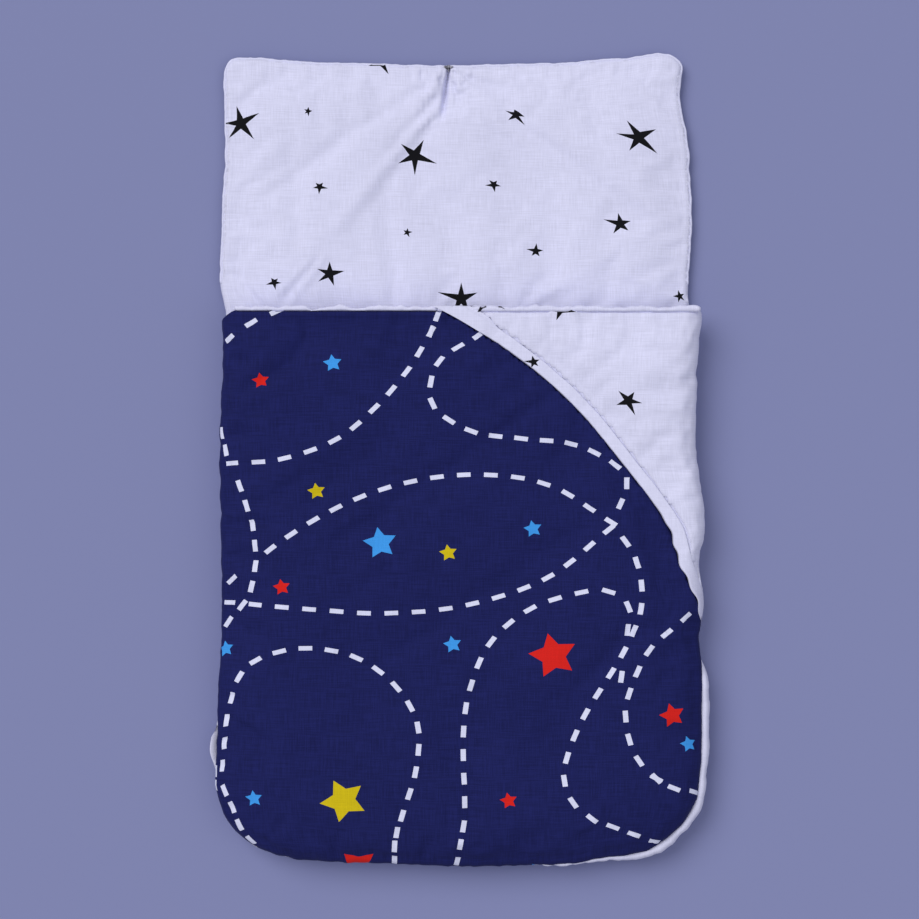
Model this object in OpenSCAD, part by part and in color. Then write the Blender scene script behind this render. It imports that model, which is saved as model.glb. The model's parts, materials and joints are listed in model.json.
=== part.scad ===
// Padded baby sleeping bag with a hood end, lying closed on its back.
// Millimetres. Origin under the middle of the bag at the floor, +Y to the hood, +Z up.
// Each panel is a thin shell, a wadding slab and a thin lining.
// The front flap is sewn down the left side and the corner flap down the right side.

/* [Outline] */
// Width over the side lips
bag_w = 446; // [380:1:520]
// Length from the foot to the hood edge
bag_l = 750; // [650:1:850]
// Height of the mouth line above the middle of the bag
mouth_y = 141; // [100:1:180]
// Radius of the two foot corners
foot_corner_r = 75; // [40:1:110]
// Radius of the two hood corners
hood_corner_r = 15; // [8:1:40]
// Width of the lip that stands outside the pads on the right and at the foot
side_lip_w = 4; // [3:0.5:6]

/* [Panels] */
// Thickness of one layer of cotton, with its turned seams
cloth_t = 0.8; // [0.4:0.1:1.2]
// Thickness of the turned cloth wall at the edge of a panel
edge_wall_t = 1.2; // [0.8:0.1:2]
// Thickness of the wadding in the back panel
back_wad_t = 11.9; // [6:0.1:16]
// Thickness of the wadding in the front flaps
front_wad_t = 14.6; // [8:0.1:18]
// Thickness of the wadding in the hood
hood_wad_t = 13.3; // [6:0.1:16]
// Gap between layers, and between moving parts
layer_gap = 0.3; // [0.2:0.1:0.6]
// Height of the space for the baby, flat and empty
baby_gap = 13.4; // [10:0.1:30]

/* [Curved zip] */
// Distance of the zip's curve centre left of the middle of the bag
curve_left = 210; // [150:1:260]
// Distance of the zip's curve centre below the middle of the bag
curve_below = 262; // [200:1:320]
// Radius of the zip line
zip_r = 451.5; // [380:0.5:520]
// Width of the rounded lip that covers the zip
placket_w = 8; // [5:0.5:12]
// Width of the bound edge on the corner flap's side
edge_bind_w = 5; // [3:0.5:8]
// Radius of one side of the coil
coil_r = 0.8; // [0.5:0.1:1.2]
// Width of a zip tape
zip_tape_w = 13; // [8:0.5:18]
// Angle of the lower end of the curved zip
curve_end_angle = 18.4; // [15:0.1:30]

/* [Slider] */
// Length of the slider along the zip
slider_l = 9; // [7:0.5:12]
// Half of the slider's width
slider_half_w = 4.2; // [4:0.1:5]
// Angle of the slider on the curve when the bag is closed
slider_angle = 62.1; // [58:0.1:62.5]
// Length of the pull tab from its pin
tab_l = 14; // [10:0.5:16]
// Half of the tab's width
tab_half_w = 2; // [1.5:0.1:2.2]
// Radius of the tab's pin
pin_r = 0.5; // [0.4:0.05:0.6]
// Radial clearance of the tab's eye on the pin
pin_gap = 0.07; // [0.03:0.01:0.1]

/* [Edges] */
// Width of the bound edge along the front flap's mouth
front_bind_w = 4; // [3:0.5:8]
// Width of the faced edge along the corner flap's mouth
corner_face_w = 7.5; // [5:0.5:12]
// Width of the rolled edge round the hood
hood_pipe_w = 1.6; // [1:0.1:3]
// Distance of the hood's tack left of the middle
tack_left = 15; // [0:1:40]

/* [Hidden] */
$fn = 96;
curve_steps = 720;

NAVY = [0.08, 0.09, 0.25];
WHITE = [0.87, 0.88, 0.95];
TRIM = [0.93, 0.93, 0.97];
WADDING = [0.92, 0.92, 0.90];
TAPE = [0.88, 0.88, 0.92];
COIL = [0.95, 0.95, 0.95];
METAL = [0.90, 0.90, 0.92];
THREAD = [0.45, 0.45, 0.50];

far = 900;
left_x = -bag_w / 2;
right_x = bag_w / 2 - side_lip_w;
foot_y = -bag_l / 2 + side_lip_w;
head_y = bag_l / 2;
fold_y = mouth_y + 15;
fold_gap = 1;

// heights, from the floor up
back_lining_top = cloth_t + back_wad_t + cloth_t + 2 * layer_gap;
front_under = back_lining_top + baby_gap;
root_wall_top = front_under - 5.1;
flap_wall_low = front_under - 3.1;
front_wad_low = front_under + cloth_t + layer_gap;
front_cloth_low = front_wad_low + front_wad_t + layer_gap;
front_top = front_cloth_low + cloth_t;
hood_top = cloth_t + hood_wad_t + cloth_t + 2 * layer_gap;

// the zip's own heights
tape_z = front_under - 1.1;
tape_t = 0.6;
coil_z = tape_z + tape_t / 2;
coil_off = 1.6;
lip_low = front_under + 6;
pin_z = front_under + 3.9;

// plans
front_r = zip_r - 0.2 - placket_w - layer_gap;
corner_r = zip_r + layer_gap + edge_bind_w + layer_gap;
tack_y = head_y - 9;
notch_angle = slider_angle - 57.3 * (tab_l + 1.5) / zip_r;
body_notch_angle = slider_angle - 57.3 * (slider_l / 2 + 1) / zip_r;
side_zip_top = -175;
lip_top = -130;
lip_left = -200;

module slab(low, high) {
    translate([0, 0, low]) linear_extrude(high - low) children();
}

// Plan of the bag below the hood: straight sides and two round foot corners.
module bag_plan(inset, top) {
    x0 = left_x + inset;
    x1 = right_x - inset;
    y0 = foot_y + inset;
    r = foot_corner_r - inset;
    translate([x0, y0 + r]) square([x1 - x0, top - y0 - r]);
    translate([x0 + r, y0]) square([x1 - x0 - 2 * r, r + 1]);
    for (x = [x0 + r, x1 - r]) translate([x, y0 + r]) circle(r);
}

module curve_disc(r) {
    translate([-curve_left, -curve_below]) circle(r, $fn = curve_steps);
}

module front_plan(inset) {
    intersection() {
        bag_plan(inset, mouth_y - front_bind_w - layer_gap - inset);
        curve_disc(front_r - inset);
    }
}

module corner_plan(inset) {
    top = mouth_y - corner_face_w - layer_gap - inset;
    difference() {
        translate([-20, -160]) square([right_x - inset + 20, top + 160]);
        curve_disc(corner_r + inset);
    }
}

// Plan of the hood: square at the fold, two round corners at the head end.
module hood_plan(inset) {
    x0 = left_x + 2 + inset;
    x1 = right_x - 10 - inset;
    y1 = head_y - inset;
    r = hood_corner_r - inset;
    low = fold_y + fold_gap;
    translate([x0, low]) square([x1 - x0, y1 - r - low]);
    translate([x0 + r, y1 - r - 1]) square([x1 - x0 - 2 * r, r + 1]);
    for (x = [x0 + r, x1 - r]) translate([x, y1 - r]) circle(r);
}

// A strip that follows the right side and the foot, between two insets.
module side_strip(outer, inner, top, left) {
    intersection() {
        difference() {
            bag_plan(outer, 300);
            bag_plan(inner, 301);
        }
        translate([left, -500]) square([far, top + 500]);
    }
}

module curve_strip(r0, r1, low, high, a0, a1) {
    translate([-curve_left, -curve_below, 0]) rotate(a0)
        rotate_extrude(angle = a1 - a0, $fn = curve_steps)
        translate([r0, low]) square([r1 - r0, high - low]);
}

// A strip on the curve with a rounded top.
module curve_lip(r0, r1, low, high, a0, a1) {
    half = (r1 - r0) / 2;
    translate([-curve_left, -curve_below, 0]) rotate(a0)
        rotate_extrude(angle = a1 - a0, $fn = curve_steps) {
        translate([r0, low]) square([r1 - r0, high - low - half]);
        translate([r0 + half, high - half]) circle(half);
    }
}

module curve_bead(r, z, a0, a1) {
    translate([-curve_left, -curve_below, 0]) rotate(a0)
        rotate_extrude(angle = a1 - a0, $fn = curve_steps)
        translate([r, z]) circle(coil_r, $fn = 24);
}

module below_mouth() {
    intersection() {
        translate([-far / 2, -far / 2, -10]) cube([far, mouth_y + far / 2, 100]);
        union() children();
    }
}

module on_curve(angle) {
    translate([-curve_left, -curve_below, 0]) rotate(angle) translate([zip_r, 0, 0]) children();
}

// ---- back panel ----

module back_shell() {
    color(WHITE) {
        slab(0, cloth_t) bag_plan(0, fold_y - 1);
        slab(cloth_t - 0.1, root_wall_top) difference() {
            bag_plan(0, mouth_y);
            bag_plan(edge_wall_t, mouth_y + 1);
        }
        slab(cloth_t - 0.1, back_lining_top) difference() {
            bag_plan(0, fold_y - 1);
            bag_plan(edge_wall_t, fold_y - 1 - edge_wall_t);
        }
    }
}

module back_wadding() {
    inset = edge_wall_t + layer_gap;
    color(WADDING) slab(cloth_t + layer_gap, cloth_t + layer_gap + back_wad_t)
        bag_plan(inset, fold_y - 1 - inset);
}

module back_lining() {
    inset = edge_wall_t + layer_gap;
    color(WHITE) slab(back_lining_top - cloth_t, back_lining_top)
        bag_plan(inset, fold_y - 1 - inset);
}

module side_placket() {
    color(TRIM) slab(2, front_under + 2.5)
        side_strip(-side_lip_w, -layer_gap, lip_top, lip_left);
}

module zip_tape_back() {
    inset = edge_wall_t + layer_gap;
    color(TAPE) slab(back_lining_top + layer_gap, root_wall_top)
        side_strip(inset, inset + tape_t, lip_top, lip_left);
}

module zip_coil_back() {
    inset = edge_wall_t + tape_t + 2 * layer_gap;
    color(COIL) slab(root_wall_top - 2 * coil_r, root_wall_top)
        side_strip(inset, inset + 2 * coil_r, side_zip_top, lip_left);
}

module zip_bottom_stop() {
    inset = edge_wall_t + tape_t + 2 * layer_gap;
    color(COIL) slab(root_wall_top - 4, root_wall_top) intersection() {
        side_strip(inset, inset + 2 * coil_r, -300, lip_left - 4);
        translate([lip_left - 4, -500]) square([4 - layer_gap, 250]);
    }
}

// ---- hood ----

module hood_shell() {
    color(WHITE) {
        slab(0, cloth_t) hood_plan(hood_pipe_w);
        slab(cloth_t - 0.1, hood_top - cloth_t) difference() {
            hood_plan(hood_pipe_w + layer_gap);
            hood_plan(hood_pipe_w + layer_gap + edge_wall_t);
        }
    }
}

module hood_wadding() {
    color(WADDING) slab(cloth_t + layer_gap, cloth_t + layer_gap + hood_wad_t)
        hood_plan(hood_pipe_w + edge_wall_t + 2 * layer_gap);
}

module hood_lining() {
    color(WHITE) slab(hood_top - cloth_t + layer_gap, hood_top + layer_gap)
        hood_plan(hood_pipe_w + layer_gap);
}

module hood_piping() {
    color(TRIM) slab(hood_top / 2 - 2, hood_top / 2 + 2) difference() {
        hood_plan(0);
        hood_plan(hood_pipe_w);
        translate([-far / 2, fold_y - 5]) square([far, 10]);
    }
}

module hood_bar_tack() {
    color(THREAD) translate([-tack_left - 3, tack_y - 0.8, hood_top + 2 * layer_gap])
        cube([6, 1.6, 0.8]);
}

// ---- front flap ----

module front_shell() {
    color(NAVY) {
        difference() {
            slab(front_under - 0.2, front_top) front_plan(0);
            slab(front_under - 1, front_cloth_low) front_plan(edge_wall_t);
        }
        slab(flap_wall_low, front_under) intersection() {
            difference() {
                bag_plan(0, mouth_y - front_bind_w - layer_gap);
                bag_plan(edge_wall_t, mouth_y);
            }
            curve_disc(front_r - 2 * edge_wall_t);
        }
    }
}

module front_wadding() {
    color(WADDING) slab(front_wad_low, front_wad_low + front_wad_t)
        front_plan(edge_wall_t + layer_gap);
}

module front_lining() {
    color(WHITE) slab(front_under, front_under + cloth_t)
        front_plan(edge_wall_t + layer_gap);
}

module front_mouth_binding() {
    color(TRIM) slab(front_under, front_top + 0.1) intersection() {
        translate([left_x + 2, mouth_y - front_bind_w]) square([far / 2, front_bind_w]);
        curve_disc(front_r);
    }
}

module zip_placket() {
    color(TRIM) difference() {
        below_mouth() curve_lip(front_r + layer_gap, zip_r - 0.2, lip_low, front_top + 0.2,
            curve_end_angle, 64);
        curve_strip(zip_r - tab_half_w - layer_gap, zip_r + 1, lip_low - 1, front_top + 1,
            notch_angle, 65);
    }
}

module zip_tape_front_curve() {
    inner = zip_r - coil_off - coil_r - layer_gap;
    color(TAPE) below_mouth()
        curve_strip(inner - zip_tape_w, inner, tape_z, tape_z + tape_t, curve_end_angle, 64);
}

module zip_coil_front_curve() {
    color(COIL) curve_bead(zip_r - coil_off, coil_z, curve_end_angle, 62.8);
}

module zip_top_stop_front() {
    color(COIL) curve_strip(zip_r - coil_off - coil_r, zip_r - coil_off + coil_r,
        coil_z - coil_r, coil_z + coil_r, 62.85, 63.05);
}

module zip_tape_front_side() {
    inset = edge_wall_t + layer_gap;
    color(TAPE) slab(flap_wall_low, front_under - layer_gap)
        side_strip(inset, inset + tape_t, side_zip_top, lip_left);
}

module zip_coil_front_side() {
    inset = edge_wall_t + tape_t + 2 * layer_gap;
    color(COIL) slab(flap_wall_low, flap_wall_low + 2 * coil_r)
        side_strip(inset, inset + 2 * coil_r, side_zip_top, lip_left);
}

// ---- corner flap ----

module corner_shell() {
    color(WHITE) {
        difference() {
            slab(front_under - 0.2, front_top) corner_plan(0);
            slab(front_under - 1, front_cloth_low) corner_plan(edge_wall_t);
        }
        slab(flap_wall_low, front_under) intersection() {
            corner_plan(0);
            translate([right_x - edge_wall_t, -far / 2]) square([edge_wall_t, far]);
        }
    }
}

module corner_wadding() {
    color(WADDING) slab(front_wad_low, front_wad_low + front_wad_t)
        corner_plan(edge_wall_t + layer_gap);
}

module corner_lining() {
    color(WHITE) slab(front_under, front_under + cloth_t)
        corner_plan(edge_wall_t + layer_gap);
}

module corner_mouth_facing() {
    color(TRIM) slab(front_under, front_top + 0.1) difference() {
        translate([-20, mouth_y - corner_face_w]) square([right_x + 20, corner_face_w]);
        curve_disc(corner_r);
    }
}

module corner_edge_binding() {
    color(TRIM) difference() {
        below_mouth() curve_lip(zip_r + layer_gap, corner_r - layer_gap, lip_low, front_top,
            curve_end_angle + 1.8, 64);
        curve_strip(zip_r - 1, zip_r + tab_half_w + layer_gap, lip_low - 1, front_top + 1,
            notch_angle, 65);
        curve_strip(zip_r - 1, corner_r + 1, lip_low - 1, front_top + 1,
            body_notch_angle, 65);
    }
}

module zip_tape_corner() {
    inner = zip_r + coil_off + coil_r + layer_gap;
    color(TAPE) intersection() {
        curve_strip(inner, inner + zip_tape_w, tape_z, tape_z + tape_t,
            curve_end_angle, notch_angle);
        translate([-far / 2, -far / 2, 0]) cube([far / 2 + right_x - 2, far, 100]);
    }
}

module zip_coil_corner() {
    color(COIL) curve_bead(zip_r + coil_off, coil_z, curve_end_angle + 1.2, notch_angle - 0.3);
}

module zip_top_stop_corner() {
    color(COIL) curve_strip(zip_r + coil_off - coil_r, zip_r + coil_off + coil_r,
        coil_z - coil_r, coil_z + coil_r, notch_angle - 0.25, notch_angle - 0.05);
}

// ---- slider ----

// A box centred on the zip line, from one height to another.
module centred_block(half_w, length, low, high) {
    translate([-half_w, -length / 2, low]) cube([2 * half_w, length, high - low]);
}

module zip_slider_body() {
    plate_low = front_under - 2.9;
    plate_high = front_under + 1.7;
    flange_w = 0.8;
    color(METAL) on_curve(slider_angle) {
        centred_block(slider_half_w, slider_l, plate_low, plate_low + 0.8);
        centred_block(slider_half_w, slider_l, plate_high, plate_high + 1);
        translate([0, slider_l / 2 - 1.5, plate_low])
            cylinder(h = plate_high - plate_low + 0.5, r = 0.5);
        for (side = [-1, 1]) {
            translate([side * (slider_half_w - flange_w / 2), 0, 0]) {
                centred_block(flange_w / 2, slider_l, plate_low, tape_z - layer_gap);
                centred_block(flange_w / 2, slider_l, tape_z + tape_t + layer_gap, plate_high + 0.5);
            }
            translate([side * 1.85, 0, 0]) {
                centred_block(0.35, 2, plate_high + 0.5, pin_z);
                translate([-0.35, 0, pin_z]) rotate([0, 90, 0]) cylinder(h = 0.7, r = 1);
            }
        }
        translate([-1.85, 0, pin_z]) rotate([0, 90, 0]) cylinder(h = 3.7, r = pin_r);
    }
}

module zip_pull_tab() {
    color(METAL) on_curve(slider_angle) difference() {
        union() {
            translate([-1.3, 0, pin_z]) rotate([0, 90, 0]) cylinder(h = 2.6, r = 1);
            translate([-1.3, -3, pin_z - 0.4]) cube([2.6, 3, 0.8]);
            translate([-tab_half_w, -tab_l + tab_half_w, pin_z - 0.4])
                cube([2 * tab_half_w, tab_l - tab_half_w - 2.2, 0.8]);
            translate([0, -tab_l + tab_half_w, pin_z - 0.4]) cylinder(h = 0.8, r = tab_half_w);
        }
        translate([-3, 0, pin_z]) rotate([0, 90, 0]) cylinder(h = 6, r = pin_r + pin_gap);
        translate([0, -tab_l + tab_half_w + 1, pin_z - 1]) cylinder(h = 2, r = 0.8);
    }
}

back_shell();
back_wadding();
back_lining();
side_placket();
zip_tape_back();
zip_coil_back();
zip_bottom_stop();
hood_shell();
hood_wadding();
hood_lining();
hood_piping();
hood_bar_tack();
front_shell();
front_wadding();
front_lining();
front_mouth_binding();
zip_placket();
zip_tape_front_curve();
zip_tape_front_side();
zip_coil_front_curve();
zip_coil_front_side();
zip_top_stop_front();
corner_shell();
corner_wadding();
corner_lining();
corner_mouth_facing();
corner_edge_binding();
zip_tape_corner();
zip_coil_corner();
zip_top_stop_corner();
zip_slider_body();
zip_pull_tab();
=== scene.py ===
import json
import math

import bmesh
import bpy
import numpy as np
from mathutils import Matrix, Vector
from mathutils.bvhtree import BVHTree
from mathutils.geometry import delaunay_2d_cdt


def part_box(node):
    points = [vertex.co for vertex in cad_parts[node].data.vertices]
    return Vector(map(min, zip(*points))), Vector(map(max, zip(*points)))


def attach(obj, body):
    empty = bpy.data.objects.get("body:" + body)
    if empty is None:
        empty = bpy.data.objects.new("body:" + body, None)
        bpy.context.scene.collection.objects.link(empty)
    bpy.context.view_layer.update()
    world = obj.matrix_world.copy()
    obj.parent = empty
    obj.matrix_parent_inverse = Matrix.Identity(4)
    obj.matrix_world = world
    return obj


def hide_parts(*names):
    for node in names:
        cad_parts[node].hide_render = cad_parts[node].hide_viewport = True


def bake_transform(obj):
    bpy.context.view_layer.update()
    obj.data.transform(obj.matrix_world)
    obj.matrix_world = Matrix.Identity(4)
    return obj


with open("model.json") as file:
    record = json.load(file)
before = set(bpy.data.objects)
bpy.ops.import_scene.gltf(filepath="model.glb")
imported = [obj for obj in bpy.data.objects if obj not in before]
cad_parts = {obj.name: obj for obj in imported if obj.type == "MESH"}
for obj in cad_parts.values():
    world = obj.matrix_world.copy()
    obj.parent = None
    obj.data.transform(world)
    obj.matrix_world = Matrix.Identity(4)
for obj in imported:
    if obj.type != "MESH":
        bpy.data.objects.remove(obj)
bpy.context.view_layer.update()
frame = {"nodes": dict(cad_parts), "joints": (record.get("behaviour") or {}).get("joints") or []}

# Lengths below are in millimetres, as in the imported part; MM turns them into metres for Blender.
MM = 0.001
RNG = np.random.default_rng(7)

# ---------------------------------------------------------------- camera, floor and light

EYE_HEIGHT = 2300.0
VIEW_CENTRE = (-3.7, 1.4)
VIEW_WIDTH, MEAN_HEIGHT = 853.0, 30.0  # how much the picture spans, at this height over the floor
SENSOR = 36.0
FLOOR_SIZE, FLOOR_DROP = 24.0, 0.0004  # metres
FLOOR_PAPER = (0.196, 0.215, 0.40)
SKY, SKY_POWER = (0.94, 0.95, 1.0), 0.46


def link(obj):
    bpy.context.scene.collection.objects.link(obj)
    return obj


def make_camera():
    """A camera high over the bag that looks straight down."""
    data = bpy.data.cameras.new("camera")
    data.type = "PERSP"
    data.sensor_width = SENSOR
    data.lens = SENSOR * (EYE_HEIGHT - MEAN_HEIGHT) / VIEW_WIDTH
    data.clip_end = 20
    camera = link(bpy.data.objects.new("camera", data))
    camera.location = Vector((*VIEW_CENTRE, EYE_HEIGHT)) * MM
    bpy.context.scene.camera = camera


def sun(name, towards, power, softness, colour):
    """A broad studio light that comes from the way given, softness degrees wide."""
    data = bpy.data.lights.new(name, "SUN")
    data.energy = power
    data.color = colour
    data.angle = math.radians(softness)
    lamp = link(bpy.data.objects.new(name, data))
    lamp.rotation_euler = Vector(towards).to_track_quat("Z", "Y").to_euler()


def plain_material(name, colour, rough):
    material = bpy.data.materials.new(name)
    material.use_nodes = True
    shader = material.node_tree.nodes["Principled BSDF"]
    shader.inputs["Base Color"].default_value = (*colour, 1)
    shader.inputs["Roughness"].default_value = rough
    return material


def make_stage():
    """The paper floor, an even sky and two soft lights."""
    half = FLOOR_SIZE / 2
    corners = [(-half, -half, 0), (half, -half, 0), (half, half, 0), (-half, half, 0)]
    mesh = bpy.data.meshes.new("floor")
    mesh.from_pydata(corners, [], [(0, 1, 2, 3)])
    mesh.materials.append(plain_material("floor_paper", FLOOR_PAPER, 0.9))
    floor = link(bpy.data.objects.new("floor", mesh))
    floor.location.z = -FLOOR_DROP
    world = bpy.data.worlds.new("world")
    bpy.context.scene.world = world
    world.use_nodes = True
    sky = world.node_tree.nodes["Background"]
    sky.inputs["Color"].default_value = (*SKY, 1)
    sky.inputs["Strength"].default_value = SKY_POWER
    sun("key", (-0.55, 0.50, 0.86), 1.85, 40, (1.0, 0.985, 0.975))
    sun("fill", (0.5, -0.15, 1.0), 0.5, 60, (0.93, 0.95, 1.0))
    bpy.context.scene.view_settings.view_transform = "Standard"
    bpy.context.scene.view_settings.look = "None"


make_camera()
make_stage()

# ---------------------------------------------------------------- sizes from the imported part

X, Y, Z = 0, 1, 2


def least(node, axis):
    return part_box(node)[0][axis] / MM


def most(node, axis):
    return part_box(node)[1][axis] / MM


def joint_place(name):
    return np.array(next(j["pos_m"] for j in frame["joints"] if j["name"] == name)) / MM


LEFT, RIGHT = least("back_shell", X), most("back_shell", X)
FOOT, HEAD = least("back_shell", Y), most("hood_piping", Y)
HOOD_LEFT, HOOD_RIGHT = least("hood_piping", X), most("hood_piping", X)
MOUTH, FOLD_Y = most("corner_mouth_facing", Y), most("back_shell", Y) + 1
CORNER_R, HOOD_R = 75.0, 15.0
# the flaps' seam with the back, and the mouth edges of both flaps
RIGHT_SEAM, FOOT_SEAM = most("front_shell", X), least("front_shell", Y)
SEAM_Z = joint_place("front_flap_fold")[Z]
BASE_RIGHT = RIGHT_SEAM - 1.5
FRONT_EDGE, CORNER_TOP = MOUTH - 3, MOUTH - 2.4
# the opening curve: its centre, then the radii of the zip and of the edges on both sides of it
CURVE, ZIP_R, NAVY_R = joint_place("zip_run")[:2], 451.5, 443.0
FRONT_R, CORNER_EDGE_R, CORNER_UNDER_R = NAVY_R + 0.9, 451.9, 459.6
NOTCH, NOTCH_STEP = 59.6, 2.6  # from this angle on, in degrees, the corner flap's edge steps back this far
# heights
FRONT_TOP, FRONT_UNDER, INSIDE_Z = most("front_shell", Z), least("front_lining", Z), most("back_lining", Z)
HOOD_TOP, HOOD_SEAM_Z = most("hood_lining", Z), 8.0
HOOD_START = 112.0  # where along the bag the hood's own padding and folds start
RAY_START = 90.0  # above and below everything
LIP_LOW, LIP_TOP = least("zip_placket", Z), FRONT_TOP + 0.1
EDGE_LOW, CORNER_EDGE_LOW = 30.0, 33.6

# ---------------------------------------------------------------- helpers

def smooth(t):
    t = np.clip(t, 0, 1)
    return t * t * (3 - 2 * t)


class Waves:
    """A repeatable smooth random function of a place in plan, about -1 to 1, with swells about size long."""

    def __init__(self, size, octaves=2):
        self.terms = []
        for octave in range(octaves):
            for _ in range(5):
                turn = RNG.uniform(0, math.tau)
                k = math.tau / size * 1.9 ** octave * RNG.uniform(0.7, 1.4)
                phase = RNG.uniform(0, math.tau)
                self.terms.append((k * math.cos(turn), k * math.sin(turn), phase, 0.6 ** octave))
        self.scale = 1 / math.sqrt(sum(t[3] ** 2 for t in self.terms) / 2)

    def __call__(self, x, y):
        return self.scale * sum(a * np.sin(kx * x + ky * y + p) for kx, ky, p, a in self.terms)


class Roll:
    """Cloth that turns down over an edge as a quarter of an ellipse, w wide and h high. Distances inwards
    from the edge are d in plan and s along the cloth, and are the same from w inwards."""

    def __init__(self, w, h):
        t = np.linspace(0, math.pi / 2, 200)
        self.w, self.x, self.z = w, w * (1 - np.cos(t)), np.sin(t)
        self.a = np.concatenate([[0], np.cumsum(np.hypot(np.diff(self.x), h * np.diff(self.z)))])
        self.spare = self.a[-1] - w

    def plan(self, s):
        """Distance in plan and height from 0 to 1, at s."""
        a = s + self.spare
        return np.where(a < self.a[-1], np.interp(a, self.a, self.x), s), np.interp(a, self.a, self.z)

    def cloth(self, d):
        """Distance along the cloth, at d."""
        return np.where(d < self.w, np.interp(d, self.x, self.a) - self.spare + np.minimum(d, 0), d)


def side_distance(x, y):
    """Distance inside the bag's side and foot edge, and the way inwards."""
    right = x > (LEFT + RIGHT) / 2
    qx = np.maximum(np.maximum(LEFT + CORNER_R - x, x - RIGHT + CORNER_R), 0)
    qy = np.maximum(FOOT + CORNER_R - y, 0)
    h = np.hypot(qx, qy)
    safe = np.maximum(h, 1e-6)
    return CORNER_R - h, np.where(right, -qx, qx) / safe, qy / safe


def arc_length(points):
    return np.concatenate([[0], np.cumsum(np.linalg.norm(np.diff(points, axis=0), axis=1))])


def read_line(points, lengths, places):
    """The points' columns read at places, where lengths is the length along the line at each point."""
    return np.stack([np.interp(places, lengths, column) for column in points.T], 1)


def level(points, z=0.0):
    """Points in plan, all at the height z."""
    return np.column_stack([points, np.full(len(points), z)])


def resample(points, step, closed=False):
    """The same line with points about step apart."""
    p = np.asarray(points, float)
    if closed:
        p = np.vstack([p, p[:1]])
    a = arc_length(p)
    out = read_line(p, a, np.linspace(0, a[-1], max(2, int(round(a[-1] / step)) + 1)))
    return out[:-1] if closed else out


def spline(points, step):
    """A smooth line through the points, with points about step apart."""
    p = np.asarray(points, float)
    p = np.vstack([2 * p[0] - p[1], p, 2 * p[-1] - p[-2]])
    out = []
    for a, b, c, d in zip(p, p[1:], p[2:], p[3:]):
        t = np.linspace(0, 1, 24, endpoint=False)[:, None]
        square, cube = 2 * a - 5 * b + 4 * c - d, 3 * b - a - 3 * c + d
        out.append(0.5 * (2 * b + (c - a) * t + square * t * t + cube * t ** 3))
    return resample(np.vstack([*out, p[-2:-1]]), step)


def inside_polygon(x, y, ring):
    """Whether each point is inside the closed ring."""
    hit = np.zeros(x.shape, bool)
    x0, y0 = ring[-1]
    for x1, y1 in ring:
        if y1 != y0:
            cross = (y1 > y) != (y0 > y)
            hit ^= cross & (x < (x0 - x1) * (y - y1) / (y0 - y1) + x1)
        x0, y0 = x1, y1
    return hit


# The bag lies a little out of true. Each edge has a few swells, as (place along the edge, shift to +x or +y).
LEFT_WANDER = [(-372, 2), (-335, -6), (-300, -8), (-240, -6), (-155, -2), (-60, -3), (20, -4), (100, -1),
               (135, -1.5), (163, -6.5), (228, -5), (284, -1.5), (368, -3)]
RIGHT_WANDER = [(-356, -4.5), (-315, 0), (-259, 3), (-200, 3), (-165, 0), (-132, 4), (-95, 0.5), (-60, 6),
                (19, -3), (75, -1.5), (135, 2.5), (163, 1), (228, 4.5), (285, 2), (342, -7), (367, -4)]
HEAD_WANDER = [(-205, 2.5), (-122, -2.5), (-20, -5), (82, -3), (150, 1.5), (185, 6), (205, 5.5)]
FOOT_WANDER = [(-196, -2), (-165, 0), (-100, -3), (8, -6), (90, -4.5), (150, 3.5), (212, 1)]


def wander(place, swells):
    """The shift at each place along an edge, easing from one swell to the next."""
    at, shift = np.array(swells, float).T
    k = np.clip(np.searchsorted(at, place) - 1, 0, len(at) - 2)
    return shift[k] + (shift[k + 1] - shift[k]) * smooth((place - at[k]) / (at[k + 1] - at[k]))


def drape(points):
    """Moves points at rest sideways by the wander of the bag's edges."""
    p = np.array(points, float)
    x, y = p[:, 0].copy(), p[:, 1].copy()
    p[:, 0] += wander(y, LEFT_WANDER) * smooth((-x - 60) / 150)
    p[:, 0] += wander(y, RIGHT_WANDER) * smooth((x - 60) / 150)
    p[:, 1] += wander(x, HEAD_WANDER) * smooth((y - 270) / 100)
    p[:, 1] += wander(x, FOOT_WANDER) * smooth((-y - 270) / 95)
    p[:, 1] += 2.2 * np.exp(-((y - MOUTH) / 22) ** 2)
    return p


def shade_smooth(mesh):
    mesh.polygons.foreach_set("use_smooth", np.ones(len(mesh.polygons), bool))
    mesh.update()


def new_object(name, verts, faces, materials, indices=None, uv=None):
    """A smooth mesh object. indices is each face's material, uv each point's place on the flat cloth."""
    mesh = bpy.data.meshes.new(name)
    mesh.from_pydata((np.asarray(verts) * MM).tolist(), [], [list(map(int, f)) for f in faces])
    for m in materials:
        mesh.materials.append(m)
    if indices is not None:
        mesh.polygons.foreach_set("material_index", np.asarray(indices, np.int32))
    if uv is not None:
        layer = mesh.uv_layers.new(name="cloth")
        loops = np.zeros(len(mesh.loops), np.int32)
        mesh.loops.foreach_get("vertex_index", loops)
        layer.data.foreach_set("uv", (np.asarray(uv)[loops] * MM).astype(np.float32).ravel())
    shade_smooth(mesh)
    return link(bpy.data.objects.new(name, mesh))


# ---------------------------------------------------------------- materials

def nodes_of(name):
    material = bpy.data.materials.new(name)
    material.use_nodes = True
    tree = material.node_tree
    return material, tree, tree.nodes["Principled BSDF"]


def add(tree, kind, **values):
    """A shader node with its inputs or settings given by name."""
    node = tree.nodes.new(kind)
    for key, value in values.items():
        if key in node.inputs:
            node.inputs[key].default_value = value
        else:
            setattr(node, key, value)
    return node


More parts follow.
